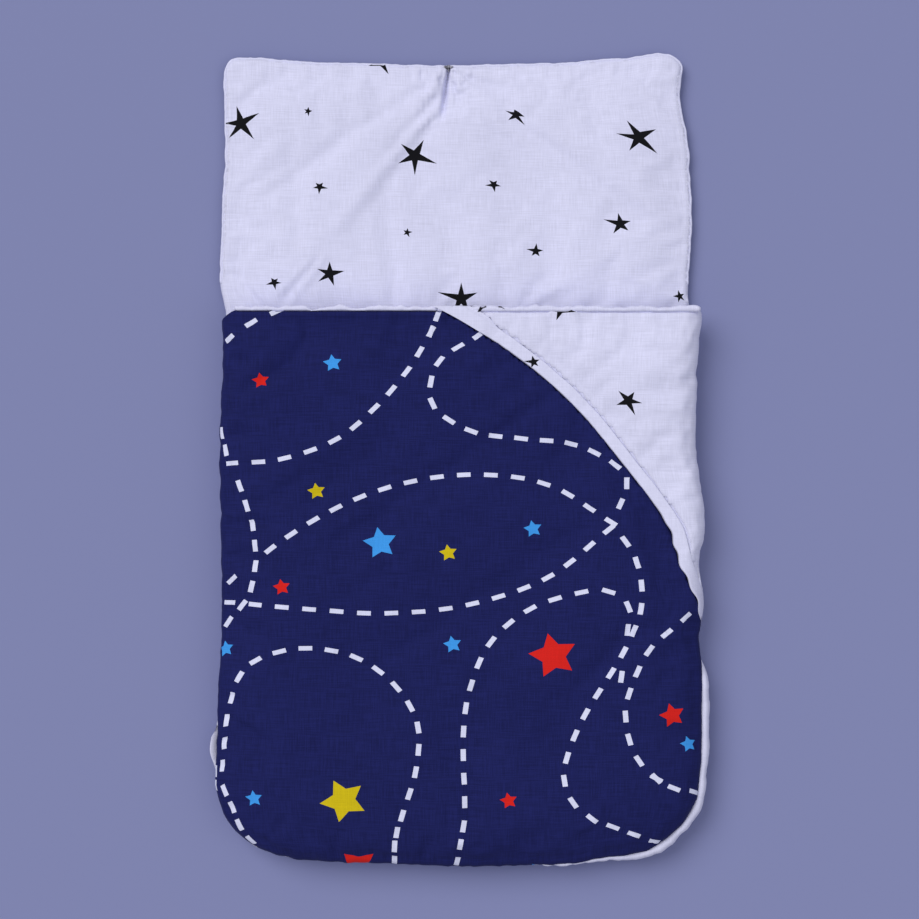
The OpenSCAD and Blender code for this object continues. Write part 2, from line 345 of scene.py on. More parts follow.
def stretched(tree, source, scale, kind, **values):
    """A texture whose space is scaled by one number for each axis."""
    mapping = add(tree, "ShaderNodeMapping")
    mapping.inputs["Scale"].default_value = scale
    tree.links.new(source, mapping.inputs["Vector"])
    texture = add(tree, kind, Scale=1.0, **values)
    tree.links.new(mapping.outputs["Vector"], texture.inputs["Vector"])
    return texture.outputs["Fac"]


def streaks(tree, source, scale, detail=2.0):
    """Noise stretched along one thread direction."""
    return stretched(tree, source, scale, "ShaderNodeTexNoise", Detail=detail, Roughness=0.6)


def ribs(tree, source, direction):
    """The fine regular threads of the weave in one direction."""
    scale = (WEAVE_SCALE,) * 3
    return stretched(tree, source, scale, "ShaderNodeTexWave", Distortion=0.6, bands_direction=direction)


def maths(tree, operation, a, b):
    node = add(tree, "ShaderNodeMath", operation=operation)
    for socket, value in zip(node.inputs, (a, b)):
        if isinstance(value, (int, float)):
            socket.default_value = value
        else:
            tree.links.new(value, socket)
    return node.outputs[0]


def colour_between(tree, shader, value, dark, light):
    """Colours the shader by value, from dark to light. Each is (value, colour)."""
    ramp = add(tree, "ShaderNodeValToRGB")
    for element, (position, colour) in zip(ramp.color_ramp.elements, (dark, light)):
        element.position, element.color = position, (*colour, 1)
    tree.links.new(value, ramp.inputs["Fac"])
    tree.links.new(ramp.outputs["Color"], shader.inputs["Base Color"])


def bumpy(tree, shader, height, strength, distance):
    bumps = add(tree, "ShaderNodeBump", Strength=strength, Distance=distance)
    tree.links.new(height, bumps.inputs["Height"])
    tree.links.new(bumps.outputs["Normal"], shader.inputs["Normal"])


WARP_SCALE, WEFT_SCALE, BLOTCH_SCALE, WEAVE_SCALE = (1150, 48, 48), (40, 1050, 40), (14, 14, 14), 420
WEFT_SCALE_IN_SPACE = (40, 1050, 1050)


def cotton(name, colour, thread=0.10, low=0.05, bump=0.25, sheen=0.25, uv=True, gloss=0.2, ends=None):
    """Plain-woven cotton: slubby warp and weft, a fine weave, soft blotches and a sheen. thread and low say
    how much the threads and the blotches shade the colour. ends are its darkest and lightest shades."""
    material, tree, shader = nodes_of(name)
    source = add(tree, "ShaderNodeTexCoord").outputs["UV" if uv else "Object"]
    warp = streaks(tree, source, WARP_SCALE)
    weft = streaks(tree, source, WEFT_SCALE if uv else WEFT_SCALE_IN_SPACE)
    weave = maths(tree, "MULTIPLY", ribs(tree, source, "X"), ribs(tree, source, "Y"))
    blotch = streaks(tree, source, BLOTCH_SCALE, 3.0)
    threads = maths(tree, "ADD", maths(tree, "SUBTRACT", warp, 0.5), maths(tree, "SUBTRACT", weft, 0.5))
    shade = maths(tree, "ADD", maths(tree, "MULTIPLY", threads, thread * 4),
                  maths(tree, "MULTIPLY", maths(tree, "SUBTRACT", blotch, 0.5), low * 4))
    if ends is None:
        ends = [c * 0.80 for c in colour], [min(1.0, c * 1.18 + 0.002) for c in colour]
    colour_between(tree, shader, maths(tree, "ADD", shade, 0.5), (0.25, ends[0]), (0.75, ends[1]))
    rough = maths(tree, "ADD", maths(tree, "MULTIPLY", threads, 0.25), 0.82)
    tree.links.new(rough, shader.inputs["Roughness"])
    bumpy(tree, shader, maths(tree, "ADD", maths(tree, "MULTIPLY", weave, 0.35), threads), bump, 0.0006)
    shader.inputs["Sheen Weight"].default_value = sheen
    shader.inputs["Sheen Roughness"].default_value = 0.45
    shader.inputs["Specular IOR Level"].default_value = gloss
    return material


def mottled(name, scale, detail, dark, light, rough):
    """A smooth hard material whose colour drifts a little. Also gives its nodes and its noise."""
    material, tree, shader = nodes_of(name)
    noise = add(tree, "ShaderNodeTexNoise", Scale=scale, Detail=detail)
    tree.links.new(add(tree, "ShaderNodeTexCoord").outputs["Object"], noise.inputs["Vector"])
    colour_between(tree, shader, noise.outputs["Fac"], dark, light)
    shader.inputs["Roughness"].default_value = rough
    return material, tree, shader, noise.outputs["Fac"]


WHITE = (0.64, 0.645, 0.835)
white_cotton = cotton("white_cotton", WHITE, thread=0.10, low=0.03, bump=0.3, sheen=0.2)
white_lip = cotton("white_rolled_cotton", WHITE, thread=0.07, low=0.02, bump=0.2, sheen=0.2, uv=False)
back_cotton = cotton("white_back_cotton", WHITE, thread=0.10, low=0.03, bump=0.3, sheen=0.2)
navy_cotton = cotton("navy_cotton", (0.0085, 0.0115, 0.088), thread=0.34, low=0.08, bump=0.3, sheen=0.03,
                     gloss=0.1)
black_ink = cotton("black_print", (0.004, 0.004, 0.006), low=0.03, bump=0.15, sheen=0.02, gloss=0.1)
dash_ink = cotton("pale_print", (0.64, 0.66, 0.85), thread=0.08, low=0.02, bump=0.2, sheen=0.1)
INK_COLOURS = {"red": (0.62, 0.014, 0.010), "blue": (0.045, 0.29, 0.74), "yellow": (0.58, 0.45, 0.006)}
red_ink, blue_ink, yellow_ink = (cotton(ink + "_print", colour, low=0.03, bump=0.2, sheen=0.03, gloss=0.1)
                                 for ink, colour in INK_COLOURS.items())
wadding = cotton("wadding_fibre", (0.80, 0.80, 0.78), thread=0.03, low=0.12, bump=0.6, sheen=0.5, uv=False)
tape_cloth = cotton("zip_tape_cloth", (0.74, 0.74, 0.84), thread=0.14, low=0.03, bump=0.5, uv=False)
thread_mat = cotton("sewing_thread", (0.78, 0.78, 0.88), thread=0.06, low=0.02, bump=0.4, uv=False)
tack_mat = cotton("tack_thread", (0.17, 0.17, 0.22), thread=0.5, low=0.2, bump=0.4, uv=False,
                  ends=((0.012, 0.012, 0.02), (0.38, 0.38, 0.46)))
coil_mat = mottled(
    "zip_coil_nylon", 900.0, 2.0, (0.0, (0.62, 0.62, 0.70)), (1.0, (0.80, 0.80, 0.86)), 0.38)[0]
enamel, enamel_tree, enamel_shader, enamel_noise = mottled(
    "zip_white_enamel", 700.0, 3.0, (0.3, (0.66, 0.66, 0.70)), (0.6, (0.80, 0.80, 0.84)), 0.3)
bumpy(enamel_tree, enamel_shader, enamel_noise, 0.15, 0.0001)
enamel_shader.inputs["Coat Weight"].default_value = 0.4

# ---------------------------------------------------------------- the print, in millimetres on the lying bag

STRETCH, STAR_STRETCH = 1.17, 1.1  # how much the cloth stretches the dashes and the even stars sideways
DASH, DASH_W, DASH_APART = 10.8, 4.1, 2.3  # a dash whose middle is this near to another's edge is left out
PRINT_STEP = 2.4  # a print's long edges are cut into lengths from this to twice as long
NAVY_WAIST, LOOSE_WAIST = 0.52, 0.3  # inner radius of a star over the mean length of its tips
LOOSE_SIZES = (9, 14, 22, 28, 34)


def even_tips(reach, top):
    """Angle and length of an even star's tips, stretched sideways. top is the angle of its top tip."""
    turns = [math.radians(top + 72 * k) for k in range(5)]
    tips = [(STAR_STRETCH * reach * math.cos(turn), reach * math.sin(turn)) for turn in turns]
    return sorted((math.degrees(math.atan2(y, x)) % 360, math.hypot(x, y)) for x, y in tips)


# A brushed star is (x, y, (angle, length) of its five tips).
# An even one is (ink, x, y, length of a tip, angle of its top tip).
HOOD_STARS = [
    (-76, 371, ((60, 10), (120, 10), (195, 13), (300, 13), (350, 8))),
    (-207, 314, ((25, 20), (105, 17), (180, 16), (230, 18), (310, 20))),
    (-144, 324, ((5, 4), (85, 4), (155, 4), (215, 4), (275, 5))),
    (49, 321, ((110, 5), (160, 11), (215, 9), (310, 13), (345, 8))),
    (162, 300, ((25, 18), (125, 19), (170, 21), (235, 15), (320, 23))),
    (-45, 283, ((60, 17), (140, 17), (205, 17), (270, 18), (340, 22))),
    (28, 256, ((50, 5), (135, 6), (185, 8), (280, 7), (350, 7))),
    (-133, 254, ((50, 5), (135, 5), (190, 6), (265, 7), (350, 8))),
    (145, 220, ((15, 10), (100, 10), (165, 16), (235, 11), (320, 10))),
    (67, 195, ((5, 7), (85, 7), (170, 9), (230, 6), (305, 6))),
    (-52, 212, ((5, 5), (85, 4), (150, 4), (215, 4), (295, 5))),
    (-124, 174, ((10, 14), (90, 11), (160, 12), (215, 13), (290, 12))),
    (-175, 166, ((45, 5), (125, 5), (195, 8), (280, 7), (355, 7))),
    (-2, 151, ((20, 16), (90, 15), (165, 23), (240, 14), (300, 14))),
    (201, 153, ((30, 5), (100, 6), (180, 7), (255, 6), (320, 6)))]
CORNER_STARS = [
    (90, 141, ((60, 12), (130, 12), (190, 9), (250, 11), (350, 15))),
    (153, 56, ((55, 10), (135, 13), (200, 12), (295, 15), (350, 13)))]
LIP_STAR = (65, 92, ((20, 6), (100, 6), (175, 9), (250, 6), (320, 6)))
NAVY_STARS = [
    ("r", -188, 75, 7.6, 100), ("r", -168, -117, 7.6, 100), ("r", 83, -180, 21, 103),
    ("r", 193, -236, 11.5, 105), ("r", 42, -314, 7.6, 101), ("b", -121, 90, 8.2, 98),
    ("b", 64, -63, 8.0, 101), ("b", -77, -76, 14.8, 100), ("b", -10, -170, 8.0, 101),
    ("b", -221, -174, 7.6, 96),
    ("b", 209, -263, 7.6, 104), ("b", -194, -313, 7.6, 98), ("b", 66, -376, 8.2, 101),
    ("y", -136, -28, 7.8, 99), ("y", -14, -85, 7.8, 99), ("y", -111, -314, 20, 115)]
FOOT_STAR = (-98, -372, ((43, 19), (137, 19), (210, 18), (270, 18), (330, 18)))

# A dashed line is (how many dashes, points that it passes smoothly from the first dash to the last).
DASHED_LINES = [
    (3, [(-218, 114), (-197, 129), (-174, 139)]),
    (2, [(-24, 136), (-30, 121)]),
    (11, [(-30, 121), (-52, 84), (-81, 50), (-118, 20), (-168, 2), (-215, -2)]),
    (3, [(-224, 26), (-222, 11), (-215, -5)]),
    (9, [(-215, -5), (-201, -41), (-193, -82), (-198, -122), (-219, -149)]),
    (17, [(-216, -110), (-142, -57), (-71, -25), (4, -13), (77, -22), (136, -57)]),
    (16, [(134, -64), (78, -108), (6, -133), (-70, -141), (-148, -137), (-218, -131)]),
    (16, [(14, 117), (-23, 91), (-29, 53), (6, 28), (55, 20), (104, 15), (143, -5), (152, -24), (136, -58)]),
    (15, [(136, -57), (159, -92), (164, -134), (150, -174), (112, -236), (95, -277), (94, -299),
          (103, -318), (119, -331)]),
    (4, [(119, -331), (141, -340), (178, -354)]),
    (3, [(-6, -372), (-3, -356), (0, -338)]),
    (17, [(1, -316), (0, -251), (7, -208), (26, -167), (64, -136), (113, -121), (137, -122), (152, -135),
          (152, -157), (146, -200)]),
    (9, [(206, -145), (171, -177), (152, -219), (150, -240), (154, -261), (163, -279), (178, -294)]),
    (3, [(178, -294), (196, -304), (214, -307)]),
    (3, [(-64, -371), (-64, -356), (-62, -344)]),
    (18, [(-57, -328), (-44, -285), (-43, -242), (-66, -205), (-105, -180), (-155, -174), (-199, -190),
          (-218, -226), (-224, -282)]),
    (2, [(-229, -287), (-229, -300)]),
    (4, [(-221, -305), (-206, -339), (-197, -351)])]
PRINT_Z = {"navy": 46.0, "corner": 45.0, "hood": 17.0}


def as_laid(points, height):
    """Where points of the print seen from the camera lie on the bag before its edges wander."""
    seen = np.array(VIEW_CENTRE) + (points - VIEW_CENTRE) * (EYE_HEIGHT - height) / (EYE_HEIGHT - MEAN_HEIGHT)
    out = seen.copy()
    for _ in range(4):
        out = out + seen - drape(level(out))[:, :2]
    return out


def side_lift(d):
    """How high the flaps' top stands at d inside the bag's side, from 0 at the seam to 1."""
    return FRONT_SIDE.plan(FRONT_SIDE.cloth(np.maximum(d, 0)))[1]


def navy_height(points):
    """Height of the navy print, which lies lower where the cloth rolls down at the bag's side."""
    lift = side_lift(side_distance(*points.T)[0])
    return (SEAM_Z + (PRINT_Z["navy"] - SEAM_Z) * lift)[:, None]


def star_shape(x, y, tips, waist=None):
    """A five-pointed star from the angle and length of its tips. Small brushed stars have thicker waists."""
    mean = sum(t[1] for t in tips) / 5
    waist = 0.44 - 0.009 * mean if waist is None else waist
    points = []
    for k, (angle, length) in enumerate(tips):
        following = tips[(k + 1) % 5][0] + (360 if k == 4 else 0)
        for a, r in ((angle, length), ((angle + following) / 2, mean * waist)):
            points.append((x + r * math.cos(math.radians(a)), y + r * math.sin(math.radians(a))))
    return np.array(points)


def loose_star(x, y, size, turn):
    """A star about size across with tips of slightly different lengths."""
    tips = [(turn + 72 * k, size / 2 * RNG.uniform(0.88, 1.14)) for k in range(5)]
    return star_shape(x, y, tips, LOOSE_WAIST)


def dash_shapes(count, points):
    """Dashes at an even pitch on a smooth line, in a print that is stretched sideways."""
    line = spline(np.array(points) / (STRETCH, 1), 1.0)
    lengths = arc_length(line)
    places = np.linspace(0, lengths[-1], count)
    middles = read_line(line, lengths, places)
    ways = read_line(np.gradient(line, axis=0), lengths, places)
    ways /= np.linalg.norm(ways, axis=1)[:, None]
    shapes = []
    for c, (x, y) in zip(middles, ways):
        a, b = np.array([x, y]) * DASH / 2, np.array([-y, x]) * DASH_W / 2
        shapes.append(np.array([c - a - b, c + a - b, c + a + b, c - a + b]) * (STRETCH, 1))
    return shapes


# ---------------------------------------------------------------- panels

def brick_grid(x0, y0, x1, y1, step):
    """Points step apart, with every second row moved on by half a step."""
    gx, gy = np.meshgrid(np.arange(x0, x1, step), np.arange(y0, y1, step))
    gx = gx + (np.arange(len(gx)) % 2)[:, None] * step / 2
    return gx.ravel(), gy.ravel()


def ring_distance(x, y, ring):
    """Distance from each point to the nearest point of the ring."""
    near = np.full(len(x), 1e9)
    for part in np.array_split(ring, max(1, len(ring) // 60)):
        near = np.minimum(near, np.hypot(x[:, None] - part[:, 0], y[:, None] - part[:, 1]).min(1))
    return near


def sheet_mesh(ring, prints, step, fine=None):
    """Triangles that fill the ring, with each print shape cut in exactly. Returns points, faces and the
    number of the print on each face, or 0. fine is (x0, y0, x1, y1, step) of a part with small triangles."""
    gx, gy = brick_grid(*(ring.min(0) + step / 2), *ring.max(0), step)
    if fine is not None:
        x0, y0, x1, y1, _ = fine
        out = (gx < x0) | (gx > x1) | (gy < y0) | (gy > y1)
        fx, fy = brick_grid(*fine)
        gx, gy = np.append(gx[out], fx), np.append(gy[out], fy)
    keep = inside_polygon(gx, gy, ring)
    gx, gy = gx[keep], gy[keep]
    keep = ring_distance(gx, gy, ring) > step * 0.55
    points = [tuple(p) for p in ring] + list(zip(gx[keep], gy[keep]))
    faces = [list(range(len(ring)))]
    for shape in prints:
        x, y = shape[:, 0], shape[:, 1]
        if (x * np.roll(y, -1) - np.roll(x, -1) * y).sum() < 0:
            shape = shape[::-1]
        faces.append(list(range(len(points), len(points) + len(shape))))
        points += [tuple(p) for p in shape]
    verts, _, tris, _, _, sources = delaunay_2d_cdt([Vector(p) for p in points], [], faces, 1, 1e-5)
    inside = [(face, max(source)) for face, source in zip(tris, sources) if 0 in source]
    return np.array([tuple(v) for v in verts]), [face for face, _ in inside], [mark for _, mark in inside]


def join_points(obj):
    """Joins points that lie together, drops loose ones and faces with no area."""
    work = bmesh.new()
    work.from_mesh(obj.data)
    bmesh.ops.remove_doubles(work, verts=work.verts, dist=0.02 * MM)
    bmesh.ops.dissolve_degenerate(work, edges=work.edges, dist=0.01 * MM)
    bmesh.ops.delete(work, geom=[v for v in work.verts if not v.link_faces], context="VERTS")
    work.to_mesh(obj.data)
    work.free()
    shade_smooth(obj.data)
    return obj


STEP, UNDER_STEP = 3.4, 6.0  # triangle size on a panel's seen side and on its other side
EDGE_STEP = 2.5  # and along its edge
FILL_STEP, FILL_EDGE_STEP = 9.0, 5.0  # the same for a wadding piece


def quilt(name, ring, top, bottom, fine=None):
    """A closed padded panel. ring is its edge in plan. top and bottom are (plan to cloth, cloth to space,
    prints, number of the cloth's material). Each print is (shape, number of its material)."""
    offset = 0
    verts, faces, marks, cloth, edges = [], [], [], [], []
    for side, (to_cloth, to_space, prints, base) in ((1, top), (-1, bottom)):
        edge = to_cloth(ring)
        shapes = [shape for shape, _ in prints]
        v, f, m = sheet_mesh(edge, shapes, STEP if side > 0 else UNDER_STEP, fine if side > 0 else None)
        verts.append(to_space(v))
        cloth.append(v)
        faces += [[i + offset for i in t[::side]] for t in f]
        marks += [base if k == 0 else prints[k - 1][1] for k in m]
        offset += len(v)
        edges.append(to_space(edge))
    # the wall between the two edges, where they part: level from the top edge, then down to the lower one
    n = len(ring)
    rows = [edges[0], np.column_stack([edges[1][:, :2], edges[0][:, 2]]), edges[1]]
    verts += rows
    cloth += [ring, ring, ring]
    for i in range(n):
        j = (i + 1) % n
        for k in (0, 1):
            if max(np.linalg.norm(rows[k][q] - rows[k + 1][q]) for q in (i, j)) > 0.05:
                a = offset + k * n
                faces.append([a + i, a + n + i, a + n + j, a + j])
                marks.append(top[3])
    return join_points(new_object(name, np.vstack(verts), faces, KINDS, marks, np.vstack(cloth)))


SETTLE_STEP, SETTLE_FRAMES = 5.0, 22
SETTLE_CAP = 4.0  # the longest move that a panel keeps
SETTLE_BROAD, SETTLE_KEEP = 45.0, 0.25  # of the moves' average over this reach, this share is kept


def blur(values, used, reach):
    """The average of the used cells within reach cells of each, done twice."""
    total = np.concatenate([values * used[..., None], used[..., None]], 2)
    for _ in range(2):
        for axis in (0, 1):
            pad = [(0, 0)] * 3
            pad[axis] = (reach, reach)
            sums = np.cumsum(np.pad(total, pad), axis=axis)
            size = total.shape[axis]
            last = np.minimum(np.arange(size) + 2 * reach, sums.shape[axis] - 1)
            total = np.take(sums, last, axis=axis) - np.take(sums, np.arange(size), axis=axis)
    return total[..., :-1] / np.maximum(total[..., -1:], 1e-6)


def add_cloth(obj, pinned, spare, pressure):
    """A light cloth that is held at the pinned points, has a little spare and is blown up from inside."""
    group = obj.vertex_groups.new(name="pin")
    for i in np.nonzero(pinned)[0]:
        group.add([int(i)], 1.0, "REPLACE")
    cloth = obj.modifiers.new("cloth", "CLOTH")
    settings = cloth.settings
    settings.quality = 6
    settings.mass = 0.3
    settings.tension_stiffness = settings.compression_stiffness = settings.shear_stiffness = 8.0
    settings.bending_stiffness = 0.05
    settings.air_damping = 3
    settings.effector_weights.gravity = 0
    settings.shrink_min = -spare
    settings.use_pressure = True
    settings.uniform_pressure_force = pressure
    settings.vertex_group_mass = group.name
    settings.pin_stiffness = 1
    cloth.point_cache.frame_start, cloth.point_cache.frame_end = 1, SETTLE_FRAMES


def settled_places(obj):
    """Where the simulation leaves the object's points."""
    scene = bpy.context.scene
    for frame_number in range(1, SETTLE_FRAMES + 1):
        scene.frame_set(frame_number)
    done = obj.evaluated_get(bpy.context.evaluated_depsgraph_get()).to_mesh()
    places = np.zeros(len(obj.data.vertices) * 3, np.float32)
    done.vertices.foreach_get("co", places)
    scene.frame_set(1)
    return places.reshape(-1, 3) / MM


class Settled:
    """The small moves that a cloth simulation gives a panel, read at any point of its flat cloth. box is
    (x0, y0, x1, y1) of the cloth, and inside tells which of its points are simulated."""

    def __init__(self, name, box, inside, to_space, spare, pressure):
        x0, y0, x1, y1 = box
        self.x0, self.y0 = x0, y0
        gx, gy = np.meshgrid(np.arange(x0, x1 + SETTLE_STEP, SETTLE_STEP),
                             np.arange(y0, y1 + SETTLE_STEP, SETTLE_STEP))
        self.move = np.zeros((*gx.shape, 3))
        ok = inside(gx, gy)
        cell = ok[:-1, :-1] & ok[1:, :-1] & ok[:-1, 1:] & ok[1:, 1:]
        cells_at = np.zeros(ok.shape, int)
        for dy in (0, 1):
            for dx in (0, 1):
                cells_at[dy:dy + cell.shape[0], dx:dx + cell.shape[1]] += cell
        used = cells_at > 0
        index = np.cumsum(used).reshape(used.shape) - 1
        cy, cx = np.nonzero(cell)
        quads = np.stack([index[cy, cx], index[cy, cx + 1], index[cy + 1, cx + 1], index[cy + 1, cx]], 1)
        start = to_space(np.stack([gx[used], gy[used]], 1))
        obj = new_object("sim_" + name, start, quads, [])
        add_cloth(obj, cells_at[used] < 4, spare, pressure)
        self.move[used] = settled_places(obj) - start
        mesh = obj.data
        bpy.data.objects.remove(obj)
        bpy.data.meshes.remove(mesh)
        broad = blur(self.move, used, int(SETTLE_BROAD / SETTLE_STEP))
        self.move = (self.move - broad * (1 - SETTLE_KEEP)) * used[..., None]
        size = np.linalg.norm(self.move, axis=2, keepdims=True)
        self.move *= np.minimum(1, SETTLE_CAP / np.maximum(size, 1e-6))
        print("settled", name, "mean", round(float(size.mean()), 2), "max", round(float(size.max()), 2), "mm")

    def __call__(self, p):
        u = np.clip((p[:, 0] - self.x0) / SETTLE_STEP, 0, self.move.shape[1] - 1.001)
        v = np.clip((p[:, 1] - self.y0) / SETTLE_STEP, 0, self.move.shape[0] - 1.001)
        i, j = u.astype(int), v.astype(int)
        a, b = smooth((u - i)[:, None]), smooth((v - j)[:, None])
        m = self.move
        lower = m[j, i] * (1 - a) + m[j, i + 1] * a
        upper = m[j + 1, i] * (1 - a) + m[j + 1, i + 1] * a
        return lower * (1 - b) + upper * b


# ---------------------------------------------------------------- shapes of the panels

edge_gather = Waves(30)
edge_fine = Waves(15)
patch = Waves(170, 1)
swell = Waves(190)
ripple = Waves(60)
arc_wave = Waves(46)
hood_gather = Waves(26)


def edge_wave(ex, ey):
    """How far the flaps' side seam is drawn in or out between its stitches."""
    return 0.36 * edge_gather(ex, ey) + 0.18 * edge_fine(ex, ey)


def base_wave(ex, ey):
    """The same for the edge of the back and hood."""
    return 0.2 * hood_gather(ex, ey) + 0.12 * edge_fine(ex, ey)


def near_edge(x, y, d, nx, ny):
    """The nearest point of an edge that lies d away, where n is the way inwards."""
    return x - nx * d, y - ny * d


def gathers(ex, ey, d, deep, reach=18.0, long_reach=42.0):
    """Height of the small folds that run in from a seam whose nearest point is (ex, ey), d away."""
    wave = edge_gather(ex, ey)
    crease = -np.clip(1 - np.abs(wave) / 0.42, 0, 1) ** 1.5
    gate = smooth((patch(ex, ey) + 0.45) / 1.2)
    fine = edge_fine(ex, ey) * 0.35
    long_folds = (crease + 0.35 * wave) * gate * np.exp(-(d / long_reach) ** 2)
    return deep * (long_folds + fine * np.exp(-(d / reach) ** 2))


def ridge(x, y, a, b, w0, w1, height, tail=0.55):
    """A fold from a to b that widens from w0 to w1 and dies away towards b. Negative height is a crease."""
    ax, ay = a
    length = math.hypot(b[0] - ax, b[1] - ay)
    dx, dy = (b[0] - ax) / length, (b[1] - ay) / length
    t = ((x - ax) * dx + (y - ay) * dy) / length
    s = (x - ax) * -dy + (y - ay) * dx
    w = w0 + (w1 - w0) * np.clip(t, 0, 1)
    along = smooth(t / 0.04 + 1) * (1 - smooth((t - tail) / (1 - tail)))
    return height * along * np.exp(-(s / w) ** 2)


def quarter(t):
    """Height of a quarter circle, from 0 at t = 0 to 1 at t = 1."""
    return np.sqrt(1 - (1 - np.clip(t, 0, 1)) ** 2)


def roll_down(z, a, w, base):
    """Turns z down to base over the last w before the edge, where a is the distance from it."""
    base = np.minimum(z, base)
    return base + (z - base) * quarter(a / w)


def curve_inside(x, y, r):
    """Distance inside a curve of radius r round the opening curve's centre."""
    return r - np.hypot(x - CURVE[0], y - CURVE[1])


def on_curve(x, y, r):
    """The nearest point of that curve."""
    h = np.hypot(x - CURVE[0], y - CURVE[1])
    return CURVE[0] + (x - CURVE[0]) * r / h, CURVE[1] + (y - CURVE[1]) * r / h


def corner_edge(x, y):
    """Radius of the corner flap's edge: it steps back where the zip's pull turns up."""
    angle = np.degrees(np.arctan2(y - CURVE[1], x - CURVE[0]))
    return CORNER_EDGE_R + NOTCH_STEP * smooth((angle - NOTCH + 1.4) / 1.4)


FRONT_SIDE = Roll(20, FRONT_TOP - SEAM_Z)
BACK_SIDE = Roll(20, SEAM_Z)
HOOD_SIDE = Roll(11, HOOD_SEAM_Z)
STITCH_ROWS = (2.9, 6.9)  # the two rows of stitching inside the hood's side seams


def same_place(p):
    """Plan to cloth for a side that is flat enough to need no spare cloth."""
    return p.copy()


def edge_shifts(d, a, ex, ey, cx, cy):
    """How far a flap is moved inwards from its side seam and outwards from the opening curve's centre. d and
    a are the distances from the two edges, e and c the nearest points on them."""
    shift = (1 - smooth(d / 26)) * edge_wave(ex, ey)
    return shift, 0.3 * arc_wave(cx, cy) * (1 - smooth(a / 14)) * smooth(d / 20)


def flap_top(is_corner, sim=None):
    """Functions plan to cloth and cloth to space for the top of the front flap or the corner flap."""
    sign = -1 if is_corner else 1
    mouth = CORNER_TOP if is_corner else FRONT_EDGE
    low = CORNER_EDGE_LOW if is_corner else EDGE_LOW

    def to_cloth(p):
        d, nx, ny = side_distance(p[:, 0], p[:, 1])
        m = FRONT_SIDE.cloth(d) - d
        return p + np.stack([nx * m, ny * m], 1)

    def to_space(c):
        x, y = c[:, 0], c[:, 1]
        d, nx, ny = side_distance(x, y)
        q, lift = FRONT_SIDE.plan(d)
        px, py = x + nx * (q - d), y + ny * (q - d)
        edge_r = corner_edge(px, py) if is_corner else FRONT_R
        a = sign * curve_inside(px, py, edge_r)
        m = mouth - py
        inner = np.minimum(np.minimum(q, a), m)
        ex, ey = near_edge(px, py, q, nx, ny)
        cx, cy = on_curve(px, py, edge_r)
        z = (FRONT_TOP - SEAM_Z) * lift
        z += 2.6 * smooth(inner / 110) + 0.9 * smooth(inner / 60) * swell(px, py)
        z += 0.3 * smooth(inner / 30) * ripple(px, py)
        z += lift * gathers(ex, ey, q, 1.7)
        calm = smooth((a - 1) / 9) if is_corner else 1
        z += gathers(cx, cy, np.maximum(a, 0), 0.9, 12, 26) * lift * calm
        z += gathers(px, mouth, np.maximum(m, 0), 0.8, 12, 24) * lift
        z += SEAM_Z
        if is_corner:
            z += ridge(px, py, *MOUTH_GROOVE)
        else:
            for fold in NAVY_FOLDS:
                z += ridge(px, py, *fold) * smooth(inner / 14)
        z = roll_down(z, a, 1.0, low)
        z = roll_down(z, m, 1.4 if is_corner else 2.4, low)
        shift, wave = edge_shifts(q, a, ex, ey, cx, cy)
        hx, hy = (px - CURVE[0]) / edge_r, (py - CURVE[1]) / edge_r
        p = np.stack([px + nx * shift + hx * wave, py + ny * shift + hy * wave, z], 1)
        if sim is not None:
            p = p + sim(c) * smooth(inner / 9)[:, None]
        return drape(p)

    return to_cloth, to_space


def flap_under(is_corner):
    """The lining side of the front flap or the corner flap."""
    sign = -1 if is_corner else 1
    mouth = CORNER_TOP if is_corner else FRONT_EDGE

    def to_space(c):
        x, y = c.T
        edge_r = corner_edge(x, y) if is_corner else FRONT_R
        d, nx, ny = side_distance(x, y)
        a = sign * curve_inside(x, y, edge_r)
        inner = np.minimum(np.minimum(d, a), mouth - y)
        z = SEAM_Z + (FRONT_UNDER - SEAM_Z) * quarter(d / 10)
        z += smooth(inner / 30) * (0.5 + 0.5 * ripple(x + 90, y))
        shift, wave = edge_shifts(d, a, *near_edge(x, y, d, nx, ny), *on_curve(x, y, edge_r))
        if is_corner:
            step_back = (CORNER_UNDER_R - edge_r) * (1 - smooth(a / 24))
            wave = wave + np.minimum(step_back, 0.75 * np.maximum(d, 0))
        hx, hy = (x - CURVE[0]) / edge_r, (y - CURVE[1]) / edge_r
        y_shown = np.minimum(y + ny * shift + hy * wave, mouth)
        return drape(np.stack([x + nx * shift + hx * wave, y_shown, z], 1))

    return same_place, to_space


# A fold is (from, to, width at the start, width at the end, height, where along it the fold starts to fade).
MOUTH_GROOVE = ((6, 133.6), (225, 134.4), 0.9, 0.9, -0.15, 0.95)
NAVY_FOLDS = [((-222, -232), (-168, -262), 2.5, 7, -2.7), ((-222, -262), (-180, -236), 2.5, 7, -2.1),
              ((-214, -322), (-150, -300), 3, 8, -2.4), ((-180, -352), (-150, -318), 3, 7, -2.2),
              ((-120, -368), (-112, -330), 3, 8, -2.0), ((-40, -370), (-30, -338), 3, 8, -1.8),
              ((60, -370), (48, -330), 3, 8, -2.0), ((180, -345), (150, -300), 3, 9, -2.1),
              ((215, -250), (170, -244), 3, 8, -1.8), ((-222, 100), (-190, 88), 3, 8, -2.0),
              ((-221, 20), (-185, 28), 3, 8, -1.8), ((-222, -90), (-186, -80), 3, 8, -1.8),
              ((-150, 138), (-140, 104), 3, 9, -1.7), ((-60, 138), (-66, 100), 3, 9, -1.7)]
